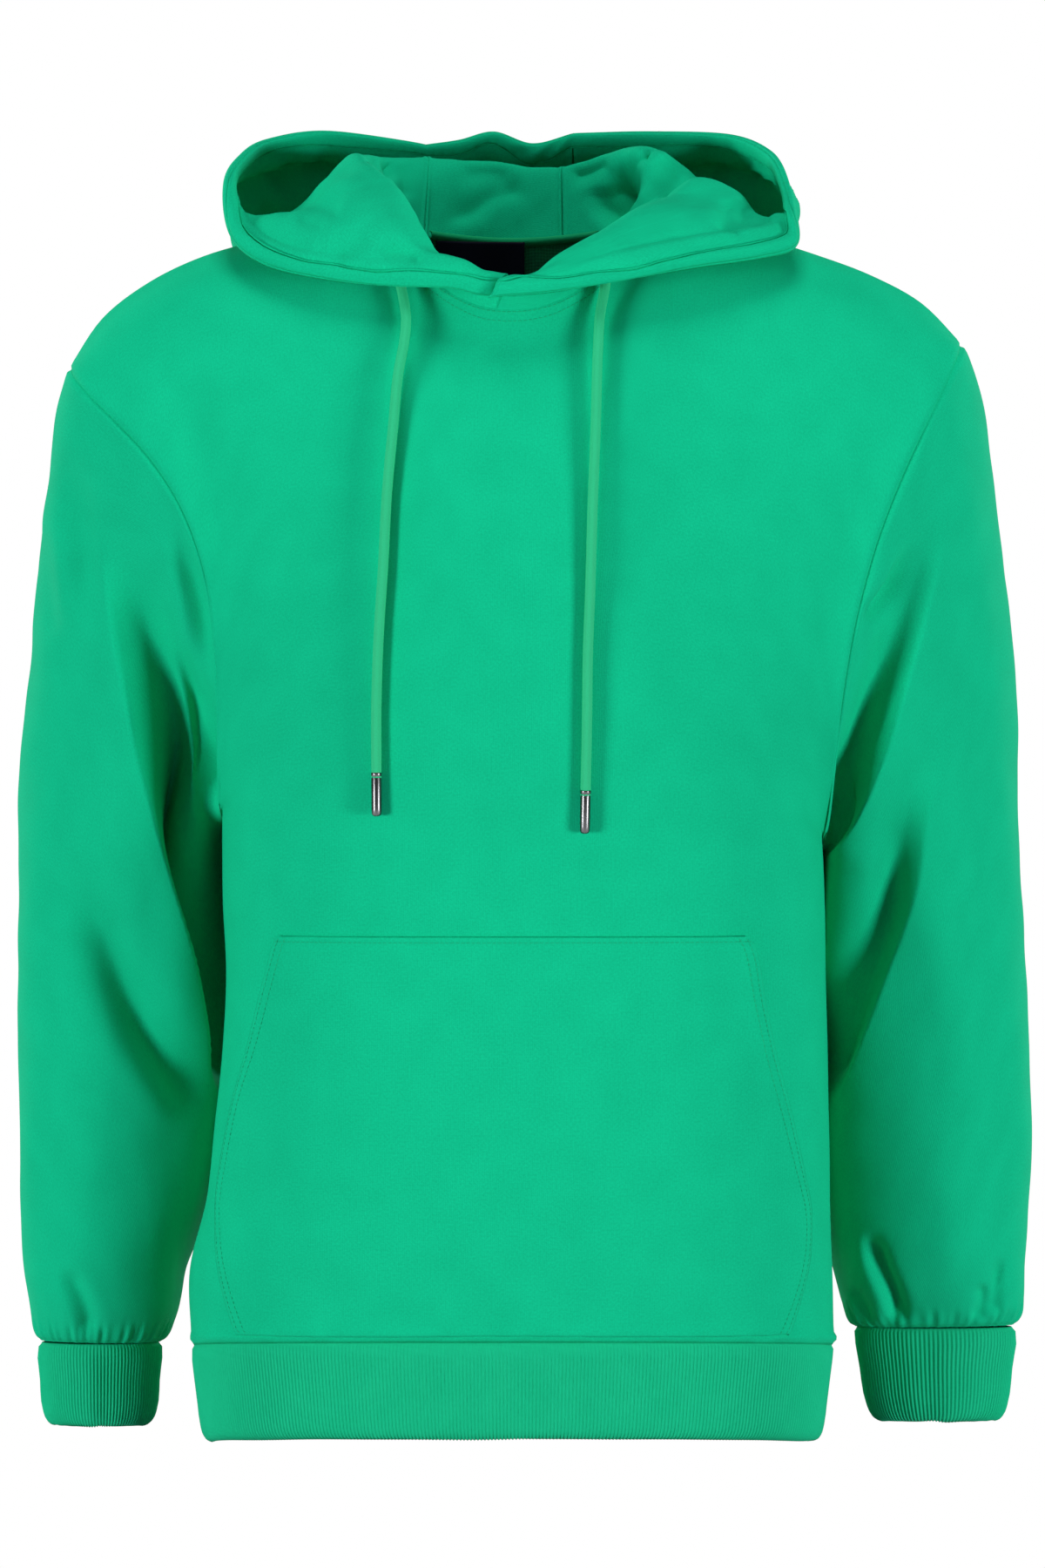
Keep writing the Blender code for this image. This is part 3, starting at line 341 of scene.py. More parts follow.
class Cloth:
    """A sheet of cloth as a grid of points in millimetres, facing outwards."""

    def __init__(self, points: Grid, wrap: bool = False, inside: Sequence[float] | None = None) -> None:
        """Takes the grid, whether its rows are rings, and a point on its inner side."""
        self.points = points
        self.wrap = wrap
        self.flip = 1.0
        self.face(points - (points.mean(axis=1, keepdims=True) if inside is None else np.array(inside)))

    def normals(self) -> Grid:
        """Unit normals that point outwards."""
        return normals_of(self.points, self.wrap) * self.flip

    def face(self, ways: Grid, where: object = ...) -> None:
        """Turns the outer side to face some ways on the whole, at the points `where` picks."""
        if (self.normals()[where] * ways).sum() < 0:
            self.flip = -self.flip

    @staticmethod
    def turned(grid: Grid, edge: Edge) -> Grid:
        """A grid with its first axis leading away from an edge."""
        column, last = edge.value
        grid = np.swapaxes(grid, 0, 1) if column else grid
        return grid[::-1] if last else grid

    def distance(self, edge: Edge) -> np.ndarray:
        """How far each point lies from an edge, along the cloth."""
        column, last = edge.value
        far = lengths_along(self.turned(self.points, edge))
        far = far[::-1] if last else far
        return far.T if column else far

    def push(self, heights: np.ndarray) -> None:
        """Moves every point outwards by its own height."""
        self.points = self.points + self.normals() * heights[..., None]

    def line(self, edge: Edge, distance: float | np.ndarray) -> tuple[Line, Line]:
        """A line on the cloth at some distance from an edge.

        Args:
            edge: the edge that it follows.
            distance: how far inside the edge it runs, the same or one for each point.

        Returns:
            Its points, and the cloth's normals there.
        """
        lines = self.turned(np.concatenate([self.points, self.normals()], axis=2), edge)
        far = lengths_along(lines[..., :3])
        inside = np.broadcast_to(distance, lines.shape[1])
        read = np.array([read_at(at, far[:, j], lines[:, j]) for j, at in enumerate(inside)])
        return read[:, :3], unit(read[:, 3:])

    def closed(self) -> Grid:
        """The grid, with each row that is a ring closed."""
        return np.concatenate([self.points, self.points[:, :1]], axis=1) if self.wrap else self.points

    def flat_size(self) -> tuple[float, float, float]:
        """The cut's width, length and area, in metres."""
        grid = self.closed()
        width = lengths_along(grid.swapaxes(0, 1))[-1].max()
        length = lengths_along(grid)[-1].max()
        cells = np.cross(np.diff(grid, axis=0)[:, :-1], np.diff(grid, axis=1)[:-1])
        return width * MM, length * MM, np.linalg.norm(cells, axis=-1).sum() * MM**2

    def make(self, name: str, wall: float, materials: Sequence[Material]) -> bpy.types.Object:
        """Makes the cloth a mesh with a wall.

        Args:
            name: the piece's name.
            wall: how thick it is, inwards from the points, or 0 for a closed band.
            materials: the outside's material, and the inside's if it differs.

        Returns:
            The new object, with a UV map in metres along the cloth.
        """
        grid = self.closed()
        rows, columns = grid.shape[:2]
        shape = bmesh.new()
        shape.loops.layers.uv.new("cloth")
        bmesh.ops.create_grid(
            shape, x_segments=columns - 1, y_segments=rows - 1, size=1.0, calc_uvs=True
        )
        mesh = mesh_of(name, shape)
        flat = np.empty(len(mesh.vertices) * 3)
        mesh.vertices.foreach_get("co", flat)
        share = (flat.reshape(-1, 3) + 1) / 2
        column = np.rint(share[:, 0] * (columns - 1)).astype(int)
        row = np.rint(share[:, 1] * (rows - 1)).astype(int)
        mesh.vertices.foreach_set("co", (grid[row, column] * MM).ravel())
        corner = np.empty(len(mesh.loops), int)
        mesh.loops.foreach_get("vertex_index", corner)
        across = lengths_along(grid.swapaxes(0, 1)).T
        across -= across[:, columns // 2:columns // 2 + 1]
        along = lengths_along(grid)
        places = np.stack([across[row, column], along[row, column]], axis=1)[corner] * MM
        mesh.uv_layers["cloth"].data.foreach_set("uv", places.ravel())
        shape = bmesh.new()
        shape.from_mesh(mesh)
        if self.wrap:
            bmesh.ops.remove_doubles(shape, verts=shape.verts, dist=2e-6)
        if self.flip < 0:
            bmesh.ops.reverse_faces(shape, faces=shape.faces)
        shape.to_mesh(mesh)
        shape.free()
        mesh.shade_smooth()
        for material in materials:
            mesh.materials.append(material)
        piece = placed(name, mesh)
        if wall:
            solid = piece.modifiers.new("Wall", "SOLIDIFY")
            solid.thickness = wall * MM
            solid.offset = -1
            solid.use_even_offset = False
            solid.material_offset = len(materials) - 1
        return piece


def tree_of(cloths: Iterable[Cloth], skip: int = 2) -> BVHTree:
    """A search tree over some cloths' outer sides, in millimetres."""
    points: list[list[float]] = []
    faces: list[list[int]] = []
    for cloth in cloths:
        grid = cloth.points[::skip, ::skip]
        rows, columns = grid.shape[:2]
        corners = len(points) + np.arange(rows * columns).reshape(rows, columns)[:-1, :-1].ravel()
        quads = corners[:, None] + np.array([0, 1, 1 + columns, columns])
        faces.extend((quads[:, ::-1] if cloth.flip < 0 else quads).tolist())
        points.extend(grid.reshape(-1, 3).tolist())
    return BVHTree.FromPolygons(points, faces)


def pushed_clear(grid: Grid, tree: BVHTree, clearance: float) -> Grid:
    """Moves the points of a grid out of the cloth that the tree holds."""
    moved = grid.copy()
    for index in np.ndindex(grid.shape[:2]):
        place = Vector(grid[index])
        found = tree.find_nearest(place, 45.0)
        if found[0] is None:
            continue
        distance = float((place - found[0]) @ found[1])
        if distance < clearance:
            moved[index] = grid[index] + np.array(found[1]) * (clearance - distance)
    return moved


def front_of(tree: BVHTree, x: float, z: float) -> float:
    """How far forward, as y, the cloth in a tree reaches at x and z."""
    return tree.ray_cast(Vector((x, -400, z)), Vector((0, 1, 0)))[0].y


# ---- the pattern


@dataclass
class Pattern:
    """The garment's cut: the same named shapes as the solids, read more finely."""

    low_rows: int = 7
    up_rows: int = 11
    shoulder_columns: int = 6
    neck_columns: int = 12
    neck_half: float = 78.0
    neck_front: float = 83.0
    neck_back: float = 75.0
    hem_side: float = -665.0
    hem_lift: float = 9.0
    back_lift: float = -2.0
    underarms: tuple[float, float] = (-358.0, -373.0)
    powers: tuple[float, float] = (2.6, 2.1)
    neck_height: tuple = (
        (0, -61), (15, -59), (30, -50), (45, -38), (60, -25), (75, -13), (90, -5),
        (105, -6), (120, -9), (150, -13), (180, -15), (210, -13), (240, -9),
        (255, -6), (270, -5), (285, -12), (300, -24), (315, -37), (330, -49),
        (345, -58), (360, -61),
    )
    torso_edges: tuple = (
        (-350, -170.5, 181.0), (-360, -170.5, 181.0), (-373, -170.3, 181.4),
        (-415, -170.0, 182.0), (-467, -167.5, 183.0), (-515, -173.0, 184.0),
        (-566, -176.5, 184.5), (-597, -184.0, 185.0), (-623, -190.0, 186.0),
        (-644, -190.5, 187.5), (-665, -188.5, 187.5),
    )
    torso_depths: tuple = (
        (-350, 5, -128, 118), (-415, 4, -130, 114), (-500, 2, -130, 110),
        (-600, 0, -126, 107), (-665, 0, -119, 104),
    )
    front_middle: tuple = (
        (0.0, -128), (0.25, -133), (0.5, -131), (0.75, -114), (0.9, -97), (1.0, -83),
    )
    back_middle: tuple = (
        (0.0, 118), (0.25, 122), (0.5, 119), (0.75, 106), (0.9, 90), (1.0, 75),
    )
    shoulder_right: tuple = (
        (-261, -93), (-254, -80), (-244, -66), (-224, -49), (-198, -33),
        (-170, -23), (-120, -12), (-78, -5),
    )
    shoulder_left: tuple = (
        (263, -79), (257, -69), (244, -58), (227, -46), (190, -31),
        (169, -23), (120, -11), (78, -5),
    )
    armhole_right: tuple = (
        (-215.75, 2.5, -225.5), (-45.25, -2.5, 132.5), (0, -82, 0), (31, 0, 29),
    )
    armhole_left: tuple = (
        (222.0, 2.5, -226.0), (41.0, -2.5, 147.0), (0, -82, 0), (-17, 0, 11),
    )

    def neck_point(self, angle: float) -> Line:
        """A point on the neck seam at an angle in degrees from the front."""
        turn = math.radians(angle)
        depth = self.neck_front if math.cos(turn) > 0 else self.neck_back
        height = table_at(angle % 360, self.neck_height)[0, 0]
        return np.array([-self.neck_half * math.sin(turn), -depth * math.cos(turn), height])

    @staticmethod
    def armhole(table: Sequence, turn: float) -> Line:
        """A point on an armhole: turn 0 at the shoulder, pi at the underarm."""
        centre, up, front, inward = (np.array(row, float) for row in table)
        point = centre + np.cos(turn) * up + np.sin(turn) * front
        return point + abs(np.sin(turn)) ** 3 * inward

    def half_ring(self, side: int, heights: tuple[float, float], lift: float, count: int) -> Line:
        """The front or back half of the torso's ring between two heights."""
        right_z, left_z = heights
        right_x = table_at(right_z, self.torso_edges)[0, 0]
        left_x = table_at(left_z, self.torso_edges)[0, 1]
        seam_y, front_y, back_y = table_at((right_z + left_z) / 2, self.torso_depths)[0]
        power = self.powers[0] if side == FRONT else self.powers[1]
        depth = (front_y if side == FRONT else back_y) - seam_y
        turn = np.linspace(0, np.pi, 181)
        across = -np.sign(np.cos(turn)) * abs(np.cos(turn)) ** (2 / power)
        out = abs(np.sin(turn)) ** (2 / power)
        x = (right_x + left_x) / 2 + (left_x - right_x) / 2 * across
        z = (right_z + left_z) / 2 + (left_z - right_z) / 2 * across + lift * out
        return resample(np.stack([x, seam_y + depth * out, z], axis=1), count)

    def top_line(self, side: int) -> Line:
        """Shoulder seam, half of the neck seam, and the other shoulder seam."""
        right = flat_curve(self.shoulder_right, self.shoulder_columns + 1)
        left = flat_curve(self.shoulder_left, self.shoulder_columns + 1)[::-1]
        corners = [self.neck_point(angle) for angle in range(0, 361, 180 // self.neck_columns)]
        neck = corners[6::-1] + corners[23:17:-1] if side == FRONT else corners[6:19]
        return np.concatenate([right[:-1], neck, left[1:]])

    def panel(self, side: int) -> Grid:
        """The outer side of the front or back, rows up from the hem."""
        columns = 2 * self.shoulder_columns + self.neck_columns + 1
        rows = []
        for row in range(self.low_rows):
            share = row / self.low_rows
            heights = tuple(self.hem_side + (low - self.hem_side) * share for low in self.underarms)
            lift = self.hem_lift * (1 - share) ** 2 if side == FRONT else self.back_lift * (1 - share)
            rows.append(self.half_ring(side, heights, lift, columns))
        base = self.half_ring(side, self.underarms, 0, columns)
        top = self.top_line(side)
        across = np.linspace(-1, 1, columns)
        shoulder = ease((abs(across) - 0.12) / 0.4)
        middle_table = self.front_middle if side == FRONT else self.back_middle
        pull_right = ((1 - across) / 2) ** 4
        pull_left = ((1 + across) / 2) ** 4
        for share in np.linspace(0, 1, self.up_rows + 1):
            turn = np.pi * (1 - share)
            right = self.armhole(self.armhole_right, -side * turn)
            left = self.armhole(self.armhole_left, -side * turn)
            rise = share * (1 - shoulder) + np.sin(np.pi / 2 * share) * shoulder
            plain = base * (1 - rise[:, None]) + top * rise[:, None]
            points = plain + pull_right[:, None] * (right - plain[0])
            points += pull_left[:, None] * (left - plain[-1])
            middle = table_at(share, middle_table)[0, 0]
            edge = right[1] * (1 - across) / 2 + left[1] * (1 + across) / 2
            bow = 1 - abs(across) ** (2.4 - 0.4 * share)
            y = edge + (middle - edge) * bow
            from_base = (1 - share) ** 3
            to_top = share**6 * (1 - shoulder) + share**2 * shoulder
            centre_y = base[columns // 2, 1]
            y = (1 - from_base) * y + from_base * (base[:, 1] + (middle - centre_y) * bow)
            y = (1 - to_top) * y + to_top * top[:, 1]
            y = y + pull_right * (right[1] - y[0]) + pull_left * (left[1] - y[-1])
            points[:, 1] = y
            rows.append(points)
        grid = np.array(rows)
        for _ in range(3):
            inside = grid[self.low_rows + 1:-1]
            inside[:, 1:-1] = inside[:, 1:-1] / 2 + (inside[:, :-2] + inside[:, 2:]) / 4
        return grid


# ---- shader tools


def maths(operation: str, swapped: bool = False) -> Callable[..., "Socket"]:
    """A method of Socket that adds one Math node.

    Args:
        operation: what the node does.
        swapped: whether the socket comes after the other value.

    Returns:
        The method.
    """

    def method(self: "Socket", *others: "Socket | float") -> "Socket":
        """Adds the node, and gives its output."""
        values = [*others, self] if swapped else [self, *others]
        return self.graph.node("ShaderNodeMath", {"operation": operation}, values)

    return method


class Socket:
    """A shader value that can be added, multiplied and divided in plain maths."""

    def __init__(self, graph: "Graph", output: bpy.types.NodeSocket) -> None:
        """Wraps an output socket of a graph."""
        self.graph = graph
        self.output = output

    __add__ = maths("ADD")
    __radd__ = maths("ADD", True)
    __sub__ = maths("SUBTRACT")
    __rsub__ = maths("SUBTRACT", True)
    __mul__ = maths("MULTIPLY")
    __rmul__ = maths("MULTIPLY", True)
    __truediv__ = maths("DIVIDE")
    __abs__ = maths("ABSOLUTE")
    fraction = maths("FRACT")


class Graph:
    """A material's nodes, made through one method."""

    def __init__(self, name: str) -> None:
        """Starts a material with a Principled shader."""
        self.material = bpy.data.materials.new(name)
        self.material.use_nodes = True
        self.tree = self.material.node_tree
        self.shader = self.tree.nodes["Principled BSDF"]

    def node(self, kind: str, settings: dict, values: dict | list, output: int | str = 0) -> Socket:
        """Adds a node.

        Args:
            kind: the node's type.
            settings: its own settings, set first.
            values: numbers, colours or sockets for its inputs, by name or in order.
            output: which of its outputs is wanted.

        Returns:
            That output.
        """
        made = self.tree.nodes.new(kind)
        for key, value in settings.items():
            setattr(made, key, value)
        pairs = enumerate(values) if isinstance(values, list) else values.items()
        for key, value in pairs:
            self.feed(made.inputs[key], value)
        return Socket(self, made.outputs[output])

    def feed(self, target: bpy.types.NodeSocket, value: object) -> None:
        """Links a socket to an input, or sets the input to a number or colour."""
        if isinstance(value, Socket):
            self.tree.links.new(value.output, target)
        elif isinstance(value, tuple) and len(value) == 3 and target.type == "RGBA":
            target.default_value = (*value, 1.0)
        else:
            target.default_value = value

    def place(self) -> tuple[Socket, Socket, Socket]:
        """The cloth's own UV place, and its two parts, in millimetres."""
        uv = self.node("ShaderNodeUVMap", {"uv_map": "cloth"}, {})
        scaled = self.node("ShaderNodeVectorMath", {"operation": "SCALE"}, {"Vector": uv, "Scale": 1000.0})
        across = self.node("ShaderNodeSeparateXYZ", {}, [scaled], "X")
        along = self.node("ShaderNodeSeparateXYZ", {}, [scaled], "Y")
        return scaled, across, along

    def noise(self, place: Socket, size: float, detail: float = 2.0) -> Socket:
        """Soft noise whose lumps are about `size` of the place's units long."""
        values = {"Vector": place, "Scale": 1.0 / size, "Detail": detail}
        return self.node("ShaderNodeTexNoise", {}, values)

    def blend(self, factor: Socket | float, first: object, second: object) -> Socket:
        """Mixes two colours."""
        return self.node("ShaderNodeMix", {"data_type": "RGBA"}, {0: factor, 6: first, 7: second}, 2)

    def bump(self, height: Socket, distance: float) -> None:
        """Raises the surface by a height, where 1 is `distance` metres."""
        values = {"Height": height, "Distance": distance, "Strength": 1.0}
        self.feed(self.shader.inputs["Normal"], self.node("ShaderNodeBump", {}, values))

    def finish(self, colour: object, roughness: object, **constants: object) -> Material:
        """Sets the shader's colour, roughness and constants, and gives the material."""
        self.feed(self.shader.inputs["Base Color"], colour)
        self.feed(self.shader.inputs["Roughness"], roughness)
        for key, value in constants.items():
            self.feed(self.shader.inputs[key.replace("_", " ")], value)
        return self.material


@dataclass(frozen=True)
class Finish:
    """A finish that mixes a colour with its darker shade."""

    name: str
    colour: Colour
    shade: Colour

    def finished(self, graph: Graph, tone: Socket, roughness: float, gloss: float) -> Material:
        """Mixes the colours by a tone, and gives the graph's material."""
        colour = graph.blend(tone, self.shade, self.colour)
        return graph.finish(colour, roughness, Specular_IOR_Level=gloss)


@dataclass(frozen=True)
class Jersey(Finish):
    """Sweatshirt jersey: fine columns of stitches under a soft even nap."""

    wale: float = 1.1
    course: float = 0.8
    relief: float = 0.0001

    def material(self) -> Material:
        """Builds the material."""
        graph = Graph(self.name)
        place, across, along = graph.place()
        wale = (across / self.wale).fraction() - 0.5
        leg = (along / self.course + abs(wale) * 0.9).fraction() - 0.5
        stitch = (0.5 - abs(wale)) * 1.2 + (0.5 - abs(leg)) * 0.8
        nap = graph.noise(place, 1.3, 3.0)
        cloud = graph.noise(place, 26.0, 1.0)
        graph.bump(stitch * 0.7 + nap * 1.3, self.relief)
        return self.finished(graph, stitch * 0.2 + nap * 0.9 + cloud * 0.3, 0.95, 0.06)


@dataclass(frozen=True)
class Loopback(Finish):
    """The jersey's inner side: rows of little loops."""

    loop: float = 1.9
    relief: float = 0.0003

    def material(self) -> Material:
        """Builds the material."""
        graph = Graph(self.name)
        place, across, along = graph.place()
        row = (along / self.loop).fraction() - 0.5
        arch = (across / self.loop + graph.noise(place, 6.0) * 0.8).fraction() - 0.5
        height = (0.5 - abs(row)) * 1.1 + (0.5 - abs(arch)) * 0.9
        graph.bump(height, self.relief)
        return self.finished(graph, height, 0.95, 0.2)


@dataclass(frozen=True)
class RibKnit(Finish):
    """Rib knit: its ribs are in the mesh, and this is their fine stitches."""

    course: float = 0.9
    relief: float = 0.00008

    def material(self) -> Material:
        """Builds the material."""
        graph = Graph(self.name)
        place, _, along = graph.place()
        stitch = 0.5 - abs((along / self.course).fraction() - 0.5)
        nap = graph.noise(place, 1.8)
        cloud = graph.noise(place, 22.0, 1.0)
        graph.bump(stitch * 0.5 + nap, self.relief)
        return self.finished(graph, nap * 0.6 + cloud * 0.5, 0.95, 0.06)


@dataclass(frozen=True)
class Yarn(Finish):
    """Plain thread, cord, tape and label cloth, with a fine grain."""

    roughness: float = 0.8
    gloss: float = 0.3
    grain: float = 0.0006
    relief: float = 0.00005

    def material(self) -> Material:
        """Builds the material."""
        graph = Graph(self.name)
        place = graph.node("ShaderNodeTexCoord", {}, {}, "Object")
        fleck = graph.noise(place, self.grain)
        graph.bump(fleck, self.relief)
        return self.finished(graph, fleck, self.roughness, self.gloss)


@dataclass(frozen=True)
class Gunmetal:
    """Dark plated metal with faint lengthwise polishing marks."""

    name: str = "gunmetal_plating"
    colour: Colour = (0.1, 0.1, 0.105)
    marks: Colour = (9000.0, 9000.0, 500.0)

    def material(self) -> Material:
        """Builds the material."""
        graph = Graph(self.name)
        place = graph.node("ShaderNodeTexCoord", {}, {}, "Object")
        stretched = graph.node("ShaderNodeMapping", {}, {"Vector": place, "Scale": self.marks})
        return graph.finish(self.colour, graph.noise(stretched, 4.0) * 0.15 + 0.2, Metallic=1.0)


class Finishes:
    """Every material of the garment, made once."""

    def __init__(self) -> None:
        """Makes the materials."""
        self.cloth = Jersey("green_jersey", (0.004, 0.6, 0.304), (0.001, 0.365, 0.176)).material()
        self.inside = Loopback("green_loopback", (0.04, 0.47, 0.24), (0.003, 0.26, 0.11)).material()
        self.rib = RibKnit("green_rib", (0.012, 0.57, 0.29), (0.004, 0.47, 0.225)).material()
        self.cord = Yarn("green_cord", (0.02, 0.58, 0.26), (0.01, 0.48, 0.2)).material()
        self.thread = Yarn("green_thread", (0.008, 0.5, 0.25), (0.003, 0.37, 0.175), 0.9, 0.1).material()
        self.tape = Yarn("green_tape", (0.006, 0.42, 0.17), (0.003, 0.34, 0.13), 0.9, 0.1).material()
        self.label = Yarn("navy_satin", (0.002, 0.004, 0.013), (0.001, 0.002, 0.008), 0.7, 0.08).material()
        self.metal = Gunmetal().material()


# ---- small makers


def dress(piece: bpy.types.Object, slot: str, *nodes: str) -> bpy.types.Object:
    """Makes a piece ride on the part, and hides the nodes that it stands for."""
    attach(piece, "root")
    if nodes:
        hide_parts(*nodes)
    log.info("%s stands for %s", piece.name, ", ".join(nodes) or "no solid")
    return piece


def sew(cloth: Cloth, name: str, wall: float, materials: Sequence[Material], slot: str,
        held: str, *nodes: str, plies: int = 1) -> None:
    """Makes a cloth piece and states its cut size.

    Args:
        cloth: its shape.
        name: its name.
        wall: how thick it is, or 0 for a closed band.
        materials: the outside's material, and the inside's if it differs.
        slot: its slot, which is not used.
        held: how it is held, which is not used.
        nodes: the solids that it stands for.
        plies: how many times the cloth lies over itself.
    """
    piece = dress(cloth.make(name, wall, materials), slot, *nodes)
    width, length, area = cloth.flat_size()
    length = max(length / plies, SHORTEST_SHEET)
    area = max(min(area / plies, width * length), LEAST_AREA_SHARE * width * length)
    log.info("%s: cut %.3f by %.3f m, %.4f m2", name, width, length, area)


def stitch_row(name: str, rows: Sequence[tuple[Line, Line]], material: Material, slot: str,
               pitch: float = 3.0, length: float = 2.2, radius: float = 0.34) -> None:
    """Short stitches along some lines on the cloth, as one curve object.

    Args:
        name: the piece's name.
        rows: for each line, its points and the cloth's normals there.
        material: the thread's finish.
        slot: the piece's slot.
        pitch: the distance from one stitch to the next.
        length: how long a stitch is.
        radius: half of the thread's thickness.
    """
    data = bpy.data.curves.new(name, "CURVE")
    data.dimensions = "3D"
    data.bevel_depth = radius * MM
    data.bevel_resolution = 1
    data.use_fill_caps = True
    data.materials.append(material)
    for points, normals in rows:
        along = lengths_along(points)
        for start in np.arange(pitch / 2, along[-1] - length, pitch):
            spline = data.splines.new("POLY")
            spline.points.add(2)
            for k, height in enumerate((-0.25, 0.12, -0.25)):
                at = start + k / 2 * length
                place = read_at(at, along, points) + unit(read_at(at, along, normals)) * height
                spline.points[k].co = (*(place * MM), 1.0)
    dress(placed(name, data), slot)


# ---- the garment


PANEL_EDGES = {
    Edge.FIRST_ROW: (30.0, 0.55), Edge.LAST_ROW: (30.0, 0.4),
    Edge.FIRST_COLUMN: (25.0, 1.0), Edge.LAST_COLUMN: (25.0, 1.0),
}


@dataclass
class Torso:
    """The front and back panels, whose seams lie in grooves.

    PANEL_EDGES gives, for each edge, how far in the cloth stays smooth, and its groove's
    share of the full depth.
    """

    pattern: Pattern
    finishes: Finishes
    creases: tuple[Crease, ...] = (
        Crease(((175, 395), (212, 470), (236, 560), (246, 660)), 3.0, 16.0, 12.0, 1.5),
        Crease(((1050, 440), (1012, 540), (985, 640), (972, 760)), 3.0, 18.0, 14.0, 1.2, Side.RIGHT),
    )
    neck_stitches: tuple[float, float] = (4.0, 9.5)
    inner_point: tuple[float, float, float] = (5.0, 0.0, -350.0)
    groove_depths: tuple[float, float] = (2.5, 0.4)
    hem_roll: float = 1.3
    panels: dict[int, Cloth] = field(default_factory=dict)
    at_neck: np.ndarray = field(init=False)

    def shape(self) -> None:
        """Works out the two panels."""
        low = self.pattern.shoulder_columns
        cells_across = 2 * low + self.pattern.neck_columns
        cells_up = self.pattern.low_rows + self.pattern.up_rows
        rows = spread(cells_up, 11, (0.03, 0.07, 0.12), (0.04, 0.09, 0.16))
        columns = spread(cells_across, 6, (0.07, 0.15, 0.26), (0.07, 0.15, 0.26))
        self.at_neck = (columns >= low) & (columns <= low + self.pattern.neck_columns)
        for side in (FRONT, BACK):
            grid = refined(self.pattern.panel(side), rows, columns)
            cloth = Cloth(grid, False, self.inner_point)
            heights = ripple(grid, 150.0, 11 + side) * 0.8 + ripple(grid, 60.0, 31 + side) * 0.22
            if side == FRONT:
                pixels = seen_at(grid)
                heights += sum(crease.height_at(pixels) for crease in self.creases)
            for edge, (calm, _) in PANEL_EDGES.items():
                heights *= ease(cloth.distance(edge) / calm)
            cloth.push(heights)
            groove = 0.0
            for edge, (_, share) in PANEL_EDGES.items():
                groove += share * bell(cloth.distance(edge), SEAM_REACH)
            foot = cloth.distance(Edge.FIRST_ROW)
            low_down = ease((-330 - grid[..., 2]) / 30) * ease(foot / 12)
            deep, shallow = self.groove_depths
            across = grid[..., 0]
            pucker = 1 + 0.4 * np.sin(across / 6.0 + 2 * np.sin(across / 23.0)) + 0.3 * np.sin(across / 2.6)
            roll = self.hem_roll * bell(foot - 4.0, 2.2) * pucker
            cloth.push(roll - (deep - (deep - shallow) * low_down) * np.minimum(groove, 1.0))
            self.panels[side] = cloth

    def build(self) -> None:
        """Makes the twin stitches below the front of the neck seam, and the panels."""
        lines = [self.panels[FRONT].line(Edge.LAST_ROW, distance) for distance in self.neck_stitches]
        rows = [(points[self.at_neck], normals[self.at_neck]) for points, normals in lines]
        stitch_row("neck_stitches", rows, self.finishes.thread, "cloth")
        walls = (self.finishes.cloth, self.finishes.inside)
        for name, cloth in zip(("front", "back"), self.panels.values()):
            sew(cloth, name + "_panel", CLOTH_WALL, walls, "cloth", "draped", name)


